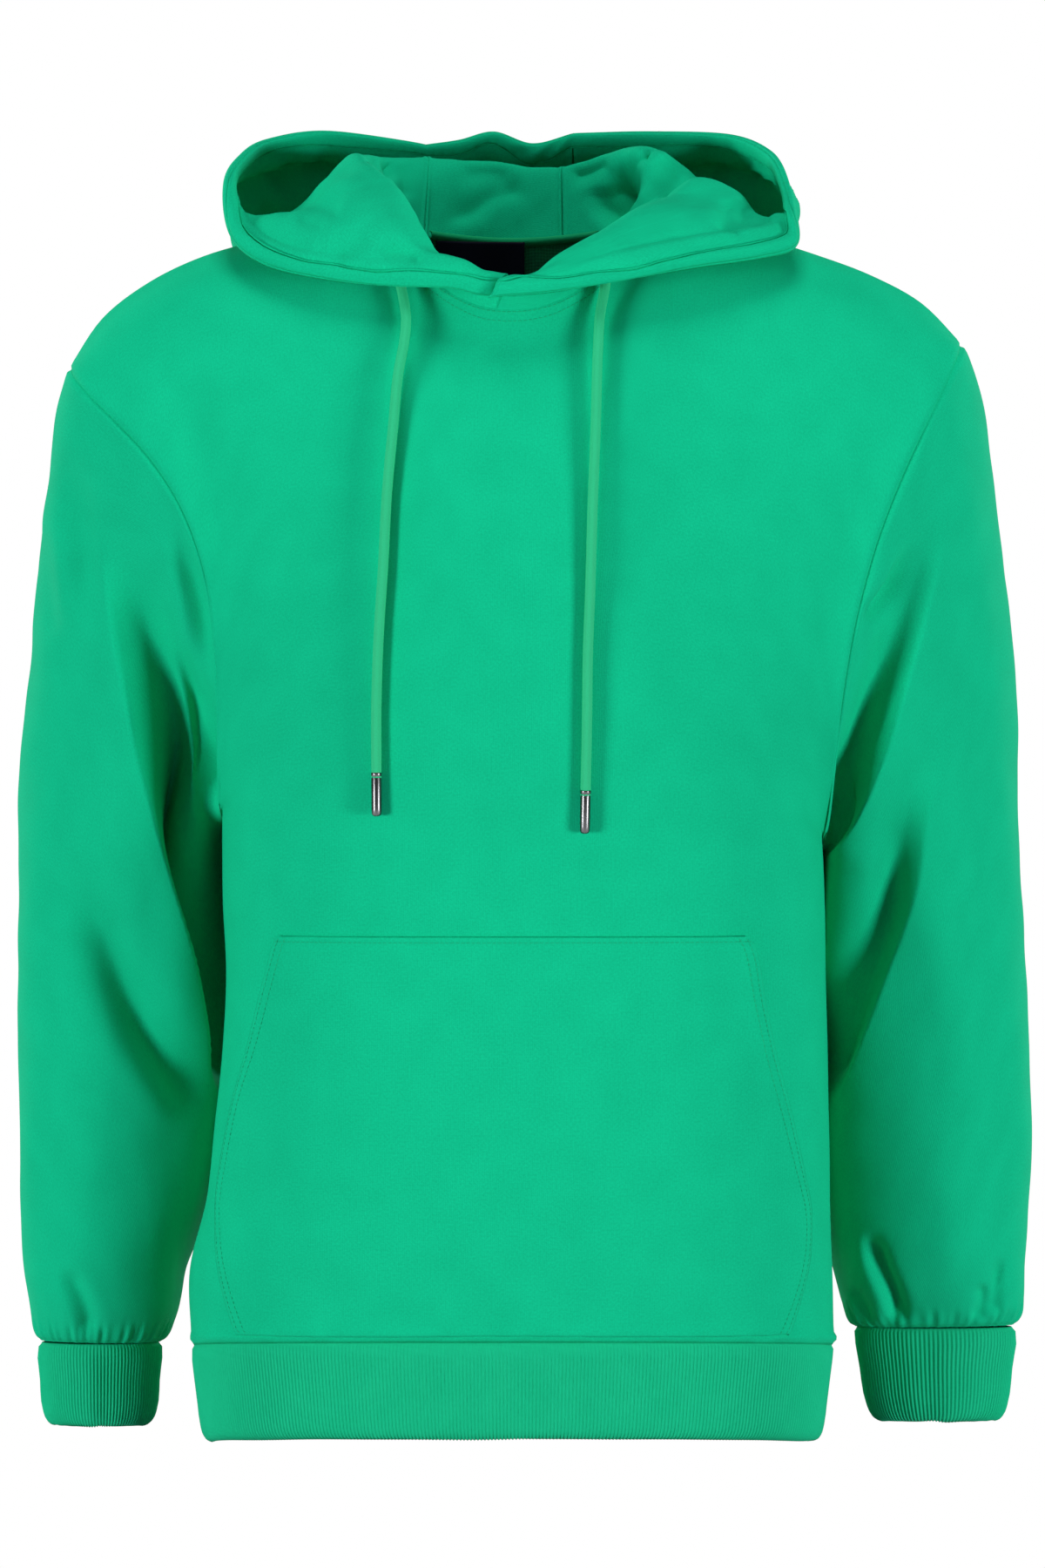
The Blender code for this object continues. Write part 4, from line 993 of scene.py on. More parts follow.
@dataclass
class Sleeve:
    """One sleeve, from the armhole to the cuff seam."""

    name: str
    torso: Torso
    rings: tuple
    hole: tuple
    creases: tuple[Crease, ...]
    underarm: float
    back_drop: float = 45.0
    seed: int = 5
    columns: int = 200
    row_steps: int = 208
    calm: tuple[float, float] = (8.0, 14.0)
    grooves: tuple[float, float] = (2.5, 1.1)
    gather: float = 0.6
    bulge: float = 6.0
    bulge_height: float = -420.0
    cloth: Cloth = field(init=False)

    def ring(self, row: Sequence[float], turns: np.ndarray) -> Line:
        """A plain ring of the sleeve."""
        outer_z, outer_x, inner_z, inner_x, middle_y, depth = row
        reach = np.cos(turns)
        x = (outer_x + inner_x) / 2 + (outer_x - inner_x) / 2 * reach
        z = (outer_z + inner_z) / 2 + (outer_z - inner_z) / 2 * reach
        return np.stack([x, middle_y - depth * np.sin(turns), z], axis=1)

    def folds(self) -> np.ndarray:
        """How far the cloth stands out at each point, from its ripples and creases."""
        points = self.cloth.points
        facing = self.cloth.normals()[..., 1]
        pixels = seen_at(points)
        pixels[..., 1] -= np.where(facing < 0, 0.0, self.back_drop)
        heights = ripple(points, 120.0, self.seed) * 1.3 + ripple(points, 45.0, self.seed + 1) * 0.35
        return heights + sum(crease.height_at(pixels) for crease in self.creases) * np.sqrt(abs(facing))

    def shape(self) -> None:
        """Works out the sleeve's outer side with its hanging folds."""
        turns = np.arange(self.columns) * 2 * np.pi / self.columns
        seam = np.array([self.torso.pattern.armhole(self.hole, turn) for turn in turns])
        stations = np.column_stack([np.arange(len(self.rings)), np.array(self.rings, float)])
        start = self.ring(self.rings[0], turns)
        rows = []
        for share in spread(1, self.row_steps, (0.0015, 0.0035), (0.0015, 0.0035)):
            row = table_at(share * (len(self.rings) - 1), stations)[0]
            rows.append(self.ring(row, turns) + (seam - start) * (1 - ease(share / 0.3)))
        self.cloth = Cloth(np.array(rows), True)
        from_seam = self.cloth.distance(Edge.FIRST_ROW)
        from_cuff = self.cloth.distance(Edge.LAST_ROW)
        heights = self.folds() * ease(from_seam / self.calm[0]) * ease(from_cuff / self.calm[1])
        gathers = np.sin(31 * turns + 2 * np.sin(7 * turns)) + 0.6 * np.sin(53 * turns + 1.3)
        heights += self.gather * gathers * bell(from_cuff - 7, 7)
        near_bulge = bell(self.cloth.points[..., 2] - self.bulge_height, 60)
        heights += self.bulge * ease((-np.cos(turns) - 0.2) / 0.4) * near_bulge
        self.cloth.push(heights)
        inner = np.cos(turns) < 0.1
        body_side = self.cloth.points[:, inner]
        clear = pushed_clear(body_side, tree_of(self.torso.panels.values()), 0.6)
        below = ease((self.underarm - 4 - body_side[..., 2:3]) / 12)
        self.cloth.points[:, inner] = body_side + (clear - body_side) * below
        at_seam, at_cuff = self.grooves
        self.cloth.push(-at_seam * bell(from_seam, SEAM_REACH) - at_cuff * bell(from_cuff, 2.2))

    def build(self) -> None:
        """Makes the sleeve."""
        finishes = self.torso.finishes
        walls = (finishes.cloth, finishes.inside)
        sew(self.cloth, self.name + "_cloth", CLOTH_WALL, walls, "cloth", "hung", self.name)


@dataclass
class RibBand:
    """A ribbed band, folded double: the hem or a cuff."""

    name: str
    finishes: Finishes
    rings: Grid
    ribs: int
    relief: float = 0.38
    steps: int = 5
    wave: float = 0.25
    ply: float = 2.9

    def shaped(self) -> Cloth:
        """The band's cloth, down the outer ply and up the inner one, with its ribs."""
        columns = np.linspace(0, self.rings.shape[1], self.ribs * self.steps, endpoint=False)
        middle = self.rings.mean(axis=1, keepdims=True)
        inner = self.rings - unit((self.rings - middle) * (1, 1, 0)) * self.ply
        cells = len(self.rings) - 1
        inner_rows = cells + np.linspace(0, cells + 1, 9)[1:]
        rows = np.concatenate([[0, 0.4], np.linspace(1, cells, 15), inner_rows])
        grid = refined(np.concatenate([self.rings, inner[::-1]]), rows, columns, True)
        cloth = Cloth(grid, True)
        cloth.face(grid[0, 0] - grid[0].mean(axis=0), (0, 0))
        down = cloth.distance(Edge.FIRST_ROW)
        up = cloth.distance(Edge.LAST_ROW)
        fold = down.max() / 2
        phase = np.arange(grid.shape[1]) / self.steps * 2 * np.pi
        rib = self.relief * np.cos(phase) * ease(down / 4.0) * (0.4 + 0.6 * ease(up / fold))
        turn = phase / self.ribs
        waves = np.sin(5 * turn + 1.1) + 0.7 * np.sin(9 * turn + 2.0) + 0.5 * np.sin(14 * turn)
        sway = self.wave * waves * np.where(down < fold, 1.0, -1.0) * ease(down / 12)
        cloth.push(rib + sway - 1.6 * bell(down, 2.2))
        cloth.points = np.concatenate([cloth.points, cloth.points[:1]])
        return cloth

    def build(self) -> None:
        """Makes the band."""
        sew(self.shaped(), self.name + "_knit", 0.0, (self.finishes.rib,), "rib", "stretched",
            self.name, plies=2)


HOOD_SKIN = (
    (1, -2, -86.5, -48, -4, -88, -46, -6, -90, -47.5, -7, -91, -51.5, -8, -91, -56.5),
    (7.5, -13, -85, -46.5, -16, -87, -44.5, -18, -89, -46, -19, -90, -50, -20, -90, -55.5),
    (15, -23, -82, -41.5, -27, -86, -38.5, -30, -88, -40.5, -33, -89, -45, -34, -89, -52),
    (26, -43, -71, -34, -52, -77, -30, -60, -81, -34, -66, -83, -41, -70, -82, -50),
    (42, -56, -53, -15, -72, -60, -12, -88, -67, -20, -100, -72, -31, -108, -74, -46),
    (58, -69, -29, 6, -88, -36, 6, -108, -43, -5, -127, -51, -17, -143, -57, -37),
    (74, -84, -4, 22, -102, -8, 15, -125, -14, -5, -147, -26, -7, -164, -38, -20),
    (93, -96, 30, 31, -112, 32, 14, -135, 28, -10, -158, 10, -6, -170, -5, 15),
    (108, -93, 47, 32, -110, 62, 5, -136, 76, -45, -165, 62, -20, -163, 33, 33),
    (122, -84, 64, 33, -98, 90, -15, -118, 122, -105, -150, 128, -60, -147, 78, 47),
    (134, -70, 80, 33, -82, 108, -40, -94, 145, -158, -120, 170, -95, -113, 118, 55),
    (145, -56, 90, 34, -60, 116, -60, -64, 152, -187, -72, 186, -110, -66, 143, 51),
    (150, -52, 93, 34, -52, 117, -64, -53, 154, -192, -54, 188, -114, -53, 148, 49),
    (163, -33, 98, 33, -33, 119, -68, -33, 156, -196, -33, 191, -117, -33, 150, 52),
    (176, -12, 100, 32, -12, 120, -70, -12, 157, -198, -12, 192, -118, -12, 151, 57),
    (189, 9, 99, 29, 10, 120, -69, 10, 157, -196, 11, 191, -117, 11, 152, 50),
    (202.5, 29, 96, 28, 30, 118, -66, 31, 155, -193, 33, 189, -114, 36, 150, 56),
    (216, 56, 88, 36, 64, 112, -55, 72, 150, -182, 82, 182, -105, 82, 136, 56),
    (230, 84, 75, 38, 95, 100, -30, 108, 135, -140, 137, 155, -80, 131, 98, 51),
    (242, 108, 60, 19, 120, 82, -14, 133, 103, -84, 161, 104, -42, 152, 60, 39),
    (250, 121, 47, 4, 132, 58, -12, 144, 72, -50, 165, 66, -20, 158, 32, 29),
    (258, 127, 32, 2, 136, 38, -4, 147, 44, -22, 164, 28, -5, 162, 8, 15),
    (267, 118, 14, 15, 130, 14, 8, 145, 8, -8, 158, -8, -6, 165, -22, -3),
    (286, 93, -17, 4, 112, -18, 1, 132, -24, -7, 150, -34, -13, 163, -44, -26),
    (301, 68, -45, -8, 90, -47, -5, 112, -50, -12, 129, -55, -20, 142, -58, -33),
    (316, 46, -65, -23, 66, -66, -17, 82, -69, -22, 96, -72, -29, 106, -73, -39),
    (332, 26, -80, -35, 40, -84, -32, 50, -86, -36, 60, -86, -41, 67, -84, -46),
    (350, 6, -89, -49, 9, -91.5, -46, 12, -93.5, -47.5, 15, -94.5, -51, 17, -95, -55),
    (360, -1, -89, -49, 0, -92.5, -46.5, -1, -95, -48.5, -2.5, -96, -52, -4, -96.5, -56.5),
    (367.5, -5, -89, -49.5, -7, -92.5, -49, -9.5, -95.5, -51, -12, -97, -54, -14.5, -97.5, -57.5),
)


@dataclass
class Hood:
    """The three-panel hood, lying open round the neck and down the back.

    A row of HOOD_SKIN is an angle round the neck and five places from the neck to the rim.
    """

    torso: Torso
    parts: tuple = (
        ("hood_right", slice(0, 13), Edge.LAST_ROW), ("hood_center", slice(12, 17), None),
        ("hood_left", slice(16, None), Edge.FIRST_ROW),
    )
    neck_angles: tuple = (
        (0, 0), (7.5, 7.5), (58, 56), (93, 85), (122, 108), (150, 135), (163, 152), (176, 170),
        (189, 187), (202.5, 202.5), (367.5, 367.5),
    )
    valleys: tuple = (
        (7.5, 0), (26, 1), (42, 2), (58, 3), (74, 3), (93, 2), (108, 4), (125, 12), (176, 14),
        (225, 14), (240, 8), (256, 3), (286, 3), (301, 2), (316, 2), (332, 1), (367.5, 0),
    )
    casings: tuple = (
        (0, 9), (42, 9.5), (74, 10.5), (93, 10), (108, 9), (230, 9), (256, 10), (286, 10.5), (316, 9.5),
        (350, 9), (367.5, 9),
    )
    allowance: float = 3.5
    inner_columns: int = 24
    knots: tuple[int, ...] = (0, 24, 34, 46, 60, 88)
    row_step: float = 0.6
    clearance: float = 1.2
    panels: dict[str, Cloth] = field(default_factory=dict)
    angles: list[np.ndarray] = field(default_factory=list)

    def skin(self, angles: np.ndarray, table: Sequence) -> Grid:
        """One hood panel's outer side: rows round the neck, columns to the rim."""
        rows = []
        for angle in angles:
            places = table_at(angle, table)[0].reshape(-1, 3)
            foot = self.torso.pattern.neck_point(table_at(angle, self.neck_angles)[0, 0])
            profile = np.concatenate([[foot - (0, 0, self.allowance)], places])
            along = lengths_along(profile)
            at = np.interp(np.arange(self.knots[-1] + 1), self.knots, along)
            rows.append(table_at(at, np.column_stack([along, profile])))
        return np.array(rows)

    def crumples(self, grid: Grid) -> np.ndarray:
        """How far the cloth stands out towards whoever looks in, from its creases."""
        pixels = seen_at(grid)
        column = np.arange(grid.shape[1])[None, :]
        ahead = grid[..., 1]
        facing = np.sqrt(abs(normals_of(grid, False)[..., 1]))
        total = ripple(grid, 38.0, 71) * 0.7 + ripple(grid, 17.0, 72) * 0.2
        for creases, mask in (
            (INNER_CREASES, ease((self.inner_columns - column) / 5)),
            (LOBE_CREASES, ease((column - self.inner_columns) / 6) * ease((40 - ahead) / 30)),
            (HANGING_CREASES, ease((column - self.knots[-2] + 6) / 6) * ease((ahead + 30) / 30)),
        ):
            total += sum(crease.height_at(pixels) for crease in creases) * mask * facing
        return total

    def shape(self) -> None:
        """Works out the three panels."""
        tree = tree_of(self.torso.panels.values())
        for name, part, sewn in self.parts:
            table = HOOD_SKIN[part]
            first, last = table[0][0], table[-1][0]
            angles = np.linspace(first, last, int((last - first) / self.row_step) + 2)
            grid = self.skin(angles, table)
            outer = np.s_[:, self.inner_columns + 4:]
            grid[outer] = pushed_clear(grid[outer], tree, self.clearance)
            cloth = Cloth(grid)
            cloth.face(grid[:, 1] - (0, 0, -20.0), np.s_[:, 1])
            rim = cloth.distance(Edge.LAST_COLUMN)
            foot = cloth.distance(Edge.FIRST_COLUMN)
            ends = np.minimum(cloth.distance(Edge.FIRST_ROW), cloth.distance(Edge.LAST_ROW))
            past = rim - table_at(angles, self.casings) - 9 * ease((angles - 95) / 25)[:, None]
            drop = table_at(angles, self.valleys) * ease(past / 7) * bell(np.maximum(past - 7, 0), 14)
            quiet = ease(foot / 12) * ease((rim - 4) / 8) * ease(ends / 10)
            cloth.push((drop - self.crumples(grid)) * quiet)
            if sewn:
                cloth.push(-bell(cloth.distance(sewn), SEAM_REACH))
            else:
                cloth.push(-bell(ends, SEAM_REACH) * ease((rim + 3) / 6))
            self.panels[name] = cloth
            self.angles.append(angles)

    def rim_line(self, share: float) -> tuple[Line, Line]:
        """A line along the whole rim, at a share of the turned hem's width.

        Args:
            share: 0 at the rim and 1 at the hem's inner edge.

        Returns:
            Its points on the outer side, and the normals there.
        """
        lines = [
            cloth.line(Edge.LAST_COLUMN, 0.3 + (self.hem_width(angles) - 0.3) * share)
            for cloth, angles in zip(self.panels.values(), self.angles)
        ]
        points, ways = (joined(parts) for parts in zip(*lines))
        for _ in range(6):
            ways[1:-1] = unit(ways[:-2] + 2 * ways[1:-1] + ways[2:])
        return points, ways

    @staticmethod
    def fullness(angles: np.ndarray) -> tuple[np.ndarray, np.ndarray]:
        """How far some angles are at the hood's back, and at its crumpled middle."""
        return ease((angles - 105) / 25) * ease((255 - angles) / 20), bell(angles - 191, 10)

    def hem_width(self, angles: np.ndarray) -> np.ndarray:
        """How wide the turned hem is seen at some angles round the neck."""
        back, crumple = self.fullness(angles)
        return table_at(angles, self.casings)[:, 0] + back * np.sin(angles / 4.1) + 4 * crumple

    def casing_band(self) -> tuple[Cloth, int]:
        """The turned-in hem that holds the drawcord, on the side that looks in.

        Returns:
            The hem's cloth, and the column on which it is stitched down.
        """
        angles = joined(self.angles)
        along = lengths_along(self.rim_line(0.0)[0])
        back, crumple = self.fullness(angles)
        pucker = np.sin(along / 1.1 + 1.5 * np.sin(along / 7.0)) * (0.1 + 0.35 * back)
        height = 0.5 + 0.1 * self.hem_width(angles)
        seams = bell(angles - 150, 0.9) + bell(angles - 202.5, 0.9)
        count = np.arange(len(angles))
        tucked = ease(count / 5) * ease((len(angles) - 1 - count) / 5)
        columns = []
        shares = (0.0, 0.03, 0.1, 0.22, 0.36, 0.5, 0.64, 0.74, 0.81, 0.85, 0.875, 0.9, 0.925, 0.95, 0.98, 1.0)
        for share in shares:
            points, ways = self.rim_line(share)
            tube = height * max(0.0, math.sin(math.pi * min(1.0, share / 0.9))) ** 0.7
            puff = pucker * bell(share - 0.78, 0.16) - 1.5 * bell(share - 0.9, 0.03)
            lump = 1.8 * crumple * share * np.sin(along / 2.7 + 5 * share)
            lift = (1.8 + tube + puff + lump - 0.8 * seams) * (0.0 < share < 1.0)
            columns.append(points - ways * (HOOD_WALL - 0.3 + lift * tucked)[:, None])
        band = Cloth(np.array(columns).transpose(1, 0, 2))
        band.face(-self.rim_line(0.5)[1], np.s_[:, 6])
        return band, shares.index(0.9)

    def build(self) -> None:
        """Makes the hood, its turned hem and the hem's stitches."""
        finishes = self.torso.finishes
        band, stitched = self.casing_band()
        rows = [(band.points[:, stitched], band.normals()[:, stitched]), self.rim_line(0.9)]
        for name, cloth in self.panels.items():
            sew(cloth, name + "_cloth", HOOD_WALL, (finishes.cloth,), "hood_cloth", "draped", name)
        sew(band, "hood_casing_cloth", TRIM_WALL, (finishes.cloth,), "hood_cloth", "stretched")
        stitch_row("hood_casing_stitches", rows, finishes.thread, "hood_cloth")


@dataclass
class Pocket:
    """The kangaroo pocket on the lower front."""

    torso: Torso
    edges: tuple = (
        (-424, -134.5, 133.5), (-430, -136, 136), (-461, -144, 142), (-490, -151, 148),
        (-523, -160, 156.5), (-560, -167, 164.5), (-588, -171, 170.5), (-610, -170.5, 170),
        (-636, -165, 164), (-654, -159, 158),
    )
    stitches: tuple[float, float, float] = (3.4, 3.2, 8.0)
    stitch_grooves: tuple[float, float, float] = (0.7, 0.6, 0.7)
    lift: float = 3.1
    belly: float = 2.2
    gape: float = 2.4
    hand_foot: float = -600.0
    cloth: Cloth = field(init=False)

    def shape(self) -> None:
        """Lays the pocket on the front and fills it out a little."""
        tree = tree_of([self.torso.panels[FRONT]], 1)

        def place(down: float, across: float) -> tuple[float, float, float]:
            """A place on the front, at shares of the pocket's height and width."""
            height = self.edges[0][0] + (self.edges[-1][0] - self.edges[0][0]) * down
            right_x, left_x = table_at(height, self.edges)[0]
            x = right_x + (left_x - right_x) * across
            z = height + 2.0 * math.sin(math.pi * across) * down
            return x, front_of(tree, x, z), z

        downs = spread(1, 76, (0.004, 0.01), (0.004,))
        acrosses = spread(1, 110, (0.003, 0.007), (0.003, 0.007))
        self.cloth = Cloth(grid_of(place, downs, acrosses), False, (5.0, 0.0, -540.0))
        grid = self.cloth.points
        side = np.minimum(self.cloth.distance(Edge.FIRST_COLUMN), self.cloth.distance(Edge.LAST_COLUMN))
        top = self.cloth.distance(Edge.FIRST_ROW)
        bottom = self.cloth.distance(Edge.LAST_ROW)
        lift = self.lift + self.belly * ease(side / 90) * ease(top / 60) * ease(bottom / 60)
        lift += ripple(grid, 90.0, 17) * 0.5 * ease(side / 30) * ease(top / 30)
        lift += self.gape * bell(side, 12) * ease((grid[..., 2] - self.hand_foot) / 40)
        lift -= 1.1 * np.minimum(bell(side, 1.6) + bell(top, 1.6) + bell(bottom, 1.6), 1.0)
        for far, line, depth in zip((top, side, side), self.stitches, self.stitch_grooves):
            lift -= depth * bell(far - line, 1.3)
        self.cloth.push(lift)

    def build(self) -> None:
        """Makes the pocket and its topstitching."""
        finishes = self.torso.finishes
        sew(self.cloth, "pocket_cloth", CLOTH_WALL, (finishes.cloth,), "cloth", "draped", "pocket")
        rows = [self.cloth.line(Edge.FIRST_ROW, self.stitches[0])]
        for edge in (Edge.FIRST_COLUMN, Edge.LAST_COLUMN):
            rows.extend(self.cloth.line(edge, line) for line in self.stitches[1:])
        stitch_row("pocket_stitches", rows, finishes.thread, "cloth")


@dataclass
class Drawcord:
    """One drawcord with its metal tip."""

    side: str
    hood: Hood
    route: tuple
    radius: float = 3.0
    rim_height: float = -55.0
    sides: int = 28
    wales: float = 4.5
    wale: float = 0.16
    course: float = 0.09
    pitch: float = 2.3
    tip_profile: tuple = (
        (-3.0, 2.75), (-3.0, 3.0), (-2.6, 3.05), (-1.2, 3.05), (-0.8, 2.85), (-0.2, 2.85),
        (0.2, 2.95), (18.0, 2.9), (20.6, 2.75), (21.6, 2.3), (22.0, 1.4), (22.1, 0.0),
    )

    def path(self) -> Line:
        """The cord's line down the chest, resting on the cloth."""
        front = self.hood.torso.panels[FRONT]
        chest = tree_of([front])
        whole = tree_of([front, *self.hood.panels.values()])
        line = flat_curve(self.route, 38)
        for place in line:
            x, _, z = place
            tree = chest if z > self.rim_height else whole
            near = min(front_of(tree, x + dx, z - dz) for dx in (-3, 0, 3) for dz in (0, 7))
            place[1] = near - self.radius - 0.7
        rest = line[1:-1, 1].copy()
        for _ in range(120):
            line[1:-1, 1] = np.minimum(rest, (line[:-2, 1] + line[2:, 1]) / 2)
        return line

    def build(self) -> None:
        """Makes the knitted cord and its tip."""
        path = self.path()
        fine = resample(path, int(lengths_along(path)[-1] / 1.1))
        turns = np.arange(self.sides) * 2 * np.pi / self.sides
        way = unit(np.gradient(fine, axis=0))
        across = unit(np.cross(way, (0.0, 1.0, 0.0)))
        other = np.cross(way, across)
        along = lengths_along(fine)[:, None]
        wale = self.wale * abs(np.cos(turns * self.wales))
        slant = 3 * abs(np.sin(turns * self.wales))
        course = self.course * np.sin(along * 2 * np.pi / self.pitch + slant)
        reach = (self.radius - 0.2 + wale + course) * np.minimum(1, 0.55 + 0.45 * ease(along / 3))
        ring = np.cos(turns)[:, None] * across[:, None] + np.sin(turns)[:, None] * other[:, None]
        cloth = Cloth(fine[:, None] + reach[..., None] * ring, True)
        name = "cord_" + self.side
        piece = dress(cloth.make(name + "_knit", 1.2, (self.hood.torso.finishes.cord,)), "cord", name)
        tip = self.tip(path[-1], unit(path[-1] - path[-3]))

    def tip(self, top: Line, way: Line) -> bpy.types.Object:
        """The metal tip, turned round the cord's line and pushed over its end."""
        shape = bmesh.new()
        corners = [shape.verts.new(Vector((radius, 0, -drop)) * MM) for drop, radius in self.tip_profile]
        edges = [shape.edges.new(pair) for pair in zip(corners, corners[1:])]
        bmesh.ops.spin(
            shape, geom=corners + edges, cent=(0, 0, 0), axis=(0, 0, 1), angle=2 * math.pi,
            steps=40, use_merge=True, use_duplicate=False,
        )
        bmesh.ops.remove_doubles(shape, verts=shape.verts, dist=1e-6)
        bmesh.ops.recalc_face_normals(shape, faces=shape.faces)
        turn = Vector((0, 0, -1)).rotation_difference(Vector(way)).to_matrix().to_4x4()
        bmesh.ops.transform(shape, matrix=turn, verts=shape.verts)
        bmesh.ops.translate(shape, vec=Vector(top * MM), verts=shape.verts)
        mesh = mesh_of("cord_tip_" + self.side + "_metal", shape)
        mesh.shade_smooth()
        mesh.materials.append(self.hood.torso.finishes.metal)
        return dress(placed(mesh.name, mesh), "cord_tip", "cord_tip_" + self.side)


@dataclass
class NeckTrim:
    """The tape over the back neck seam, and the plain label."""

    torso: Torso
    tape_angles: tuple[float, float] = (138.0, 222.0)
    tape_roll: float = 2.7
    label_middle: float = -19.7
    label_width: float = 52.0
    label_heights: tuple[float, float] = (-15.0, -37.0)
    label_depth: float = 6.4
    inner_point: tuple[float, float, float] = (0.0, 400.0, 0.0)

    def tape_place(self, turn: float, angle: float) -> Line:
        """A place on the tape, rolled by a turn and at an angle round the neck."""
        base = self.torso.pattern.neck_point(angle)
        depth = HOOD_WALL + 0.1 + self.tape_roll * math.cos(turn)
        return base - unit(base * (1, 1, 0)) * depth + (0, 0, self.tape_roll * math.sin(turn))

    def label_place(self, share: float, across: float) -> tuple[float, float, float]:
        """A place on the label, at a share of its height and of its width."""
        pattern = self.torso.pattern
        top, bottom = self.label_heights
        x = self.label_middle + across * self.label_width
        ring_y = pattern.neck_back * math.sqrt(1 - (x / pattern.neck_half) ** 2)
        bow = 0.8 * math.sin(across * 9.0) * share
        return x, ring_y - self.label_depth + bow, top + (bottom - top) * share

    def build(self) -> None:
        """Makes the tape and the label."""
        finishes = self.torso.finishes
        grid = grid_of(self.tape_place, np.linspace(-1.55, 1.55, 13), np.linspace(*self.tape_angles, 70))
        tape = Cloth(grid, False, self.inner_point)
        sew(tape, "neck_tape_cloth", TRIM_WALL, (finishes.tape,), "tape", "stretched", "neck_tape")
        grid = grid_of(self.label_place, np.linspace(0, 1, 16), np.linspace(-0.5, 0.5, 40))
        label = Cloth(grid, False, self.inner_point)
        sew(label, "neck_label_cloth", 0.7, (finishes.label,), "label", "hung", "neck_label")


# ---- the studio


@dataclass
class Studio:
    """The camera, the soft lights and the pale floor.

    A light is its name, its place in metres, its size and its power.
    """

    lights: tuple = (
        ("left", (-4.0, -3.0, -0.75), 1.2, 182.0), ("right", (4.0, -3.0, -0.85), 1.2, 178.0),
        ("top", (0.0, -0.4, 3.2), 1.4, 58.0), ("back_left", (-3.2, 4.2, 1.0), 1.6, 92.0),
        ("back_right", (3.2, 4.2, 0.7), 1.6, 80.0),
    )
    aim: tuple[float, float, float] = (0.0, 0.0, -0.35)
    floor_height: float = -1500.0
    floor_half: float = 6.0
    floor_glow: float = 0.9
    ambient: float = 0.125

    def camera(self) -> None:
        """The camera at the photograph's place, level, looking at the front."""
        data = bpy.data.cameras.new("camera")
        data.sensor_width = SENSOR
        data.lens = SENSOR * -CAMERA_PLACE[1] / (PHOTO_HIGH * MM_PER_PIXEL)
        data.clip_end = 100.0
        camera = placed("camera", data)
        camera.location = Vector(CAMERA_PLACE) * MM
        camera.rotation_euler = (math.radians(90), 0, 0)
        bpy.context.scene.camera = camera

    def light(self, name: str, place: Sequence[float], size: float, power: float) -> None:
        """A square soft light at a place in metres, turned to the garment's middle."""
        data = bpy.data.lights.new(name, "AREA")
        data.size = size
        data.energy = power
        light = placed(name, data)
        light.location = place
        light.rotation_euler = (Vector(self.aim) - Vector(place)).to_track_quat("-Z", "Y").to_euler()

    def build(self) -> None:
        """Makes the studio."""
        self.camera()
        scene = bpy.context.scene
        scene.view_settings.view_transform = "Standard"
        world = bpy.data.worlds.new("studio")
        world.use_nodes = True
        scene.world = world
        tree = world.node_tree
        back = tree.nodes["Background"]
        back.inputs["Color"].default_value = (1, 1, 1, 1)
        back.inputs["Strength"].default_value = 1.0
        dim = tree.nodes.new("ShaderNodeBackground")
        dim.inputs["Strength"].default_value = self.ambient
        mix = tree.nodes.new("ShaderNodeMixShader")
        path = tree.nodes.new("ShaderNodeLightPath")
        tree.links.new(path.outputs["Is Camera Ray"], mix.inputs[0])
        tree.links.new(dim.outputs[0], mix.inputs[1])
        tree.links.new(back.outputs[0], mix.inputs[2])
        tree.links.new(mix.outputs[0], tree.nodes["World Output"].inputs[0])
        for light in self.lights:
            self.light(*light)
        self.floor()

    def floor(self) -> None:
        """The glowing floor, which throws no light on the garment."""
        shape = bmesh.new()
        bmesh.ops.create_grid(shape, x_segments=2, y_segments=2, size=self.floor_half)
        bmesh.ops.translate(shape, vec=(0, 0, self.floor_height * MM), verts=shape.verts)
        floor = placed("floor", mesh_of("floor", shape))
        floor.visible_diffuse = False
        floor.data.materials.append(Graph("pale_floor").finish(
            (0.85, 0.85, 0.85), 0.9, Emission_Color=(1.0, 1.0, 1.0), Emission_Strength=self.floor_glow
        ))


CORD_RIGHT = (
    (-66, -45), (-64, -55), (-62, -66), (-62.5, -80), (-66, -100), (-69, -132), (-72.5, -172),
    (-74.5, -212), (-77, -252), (-78.3, -292), (-78.3, -333),
)
CORD_LEFT = (
    (53.5, -45), (52, -54), (50, -64), (48.5, -85), (47, -130), (45, -180), (43.5, -230),
    (42.3, -262), (41.8, -300), (41, -343),
)

INNER_CREASES = (
    Crease(((440, 178), (442, 192), (446, 210)), 7, 4, 3, 2),
    Crease(((421, 176), (426, 192), (438, 216)), 6, 5, 4, 3),
    Crease(((457, 182), (462, 205), (463, 232)), 3, 6, 5, 1.5),
    Crease(((500, 250), (539, 246), (567, 228), (608, 216)), 3, 7, 5, 1.5),
    Crease(((520, 205), (560, 200), (590, 206)), 2, 8, 6, 1),
    Crease(((704, 192), (716, 204), (720, 219), (712, 240), (690, 264)),
           22, 12, 6, 5, Side.RIGHT, (0.25, 0.3)),
    Crease(((722, 184), (732, 195), (736, 210), (733, 223), (728, 240)),
           7, 4, 3.5, 2, Side.RIGHT, (0.2, 0.2)),
    Crease(((747, 168), (746, 180), (744, 194)), 6, 3.5, 3.5, 2, Side.RIGHT),
    Crease(((648, 200), (668, 199), (684, 192), (700, 180)), 5, 7, 5, 2, Side.RIGHT),
    Crease(((782, 190), (775, 215), (762, 240)), 4, 9, 7, 1, Side.RIGHT),
)
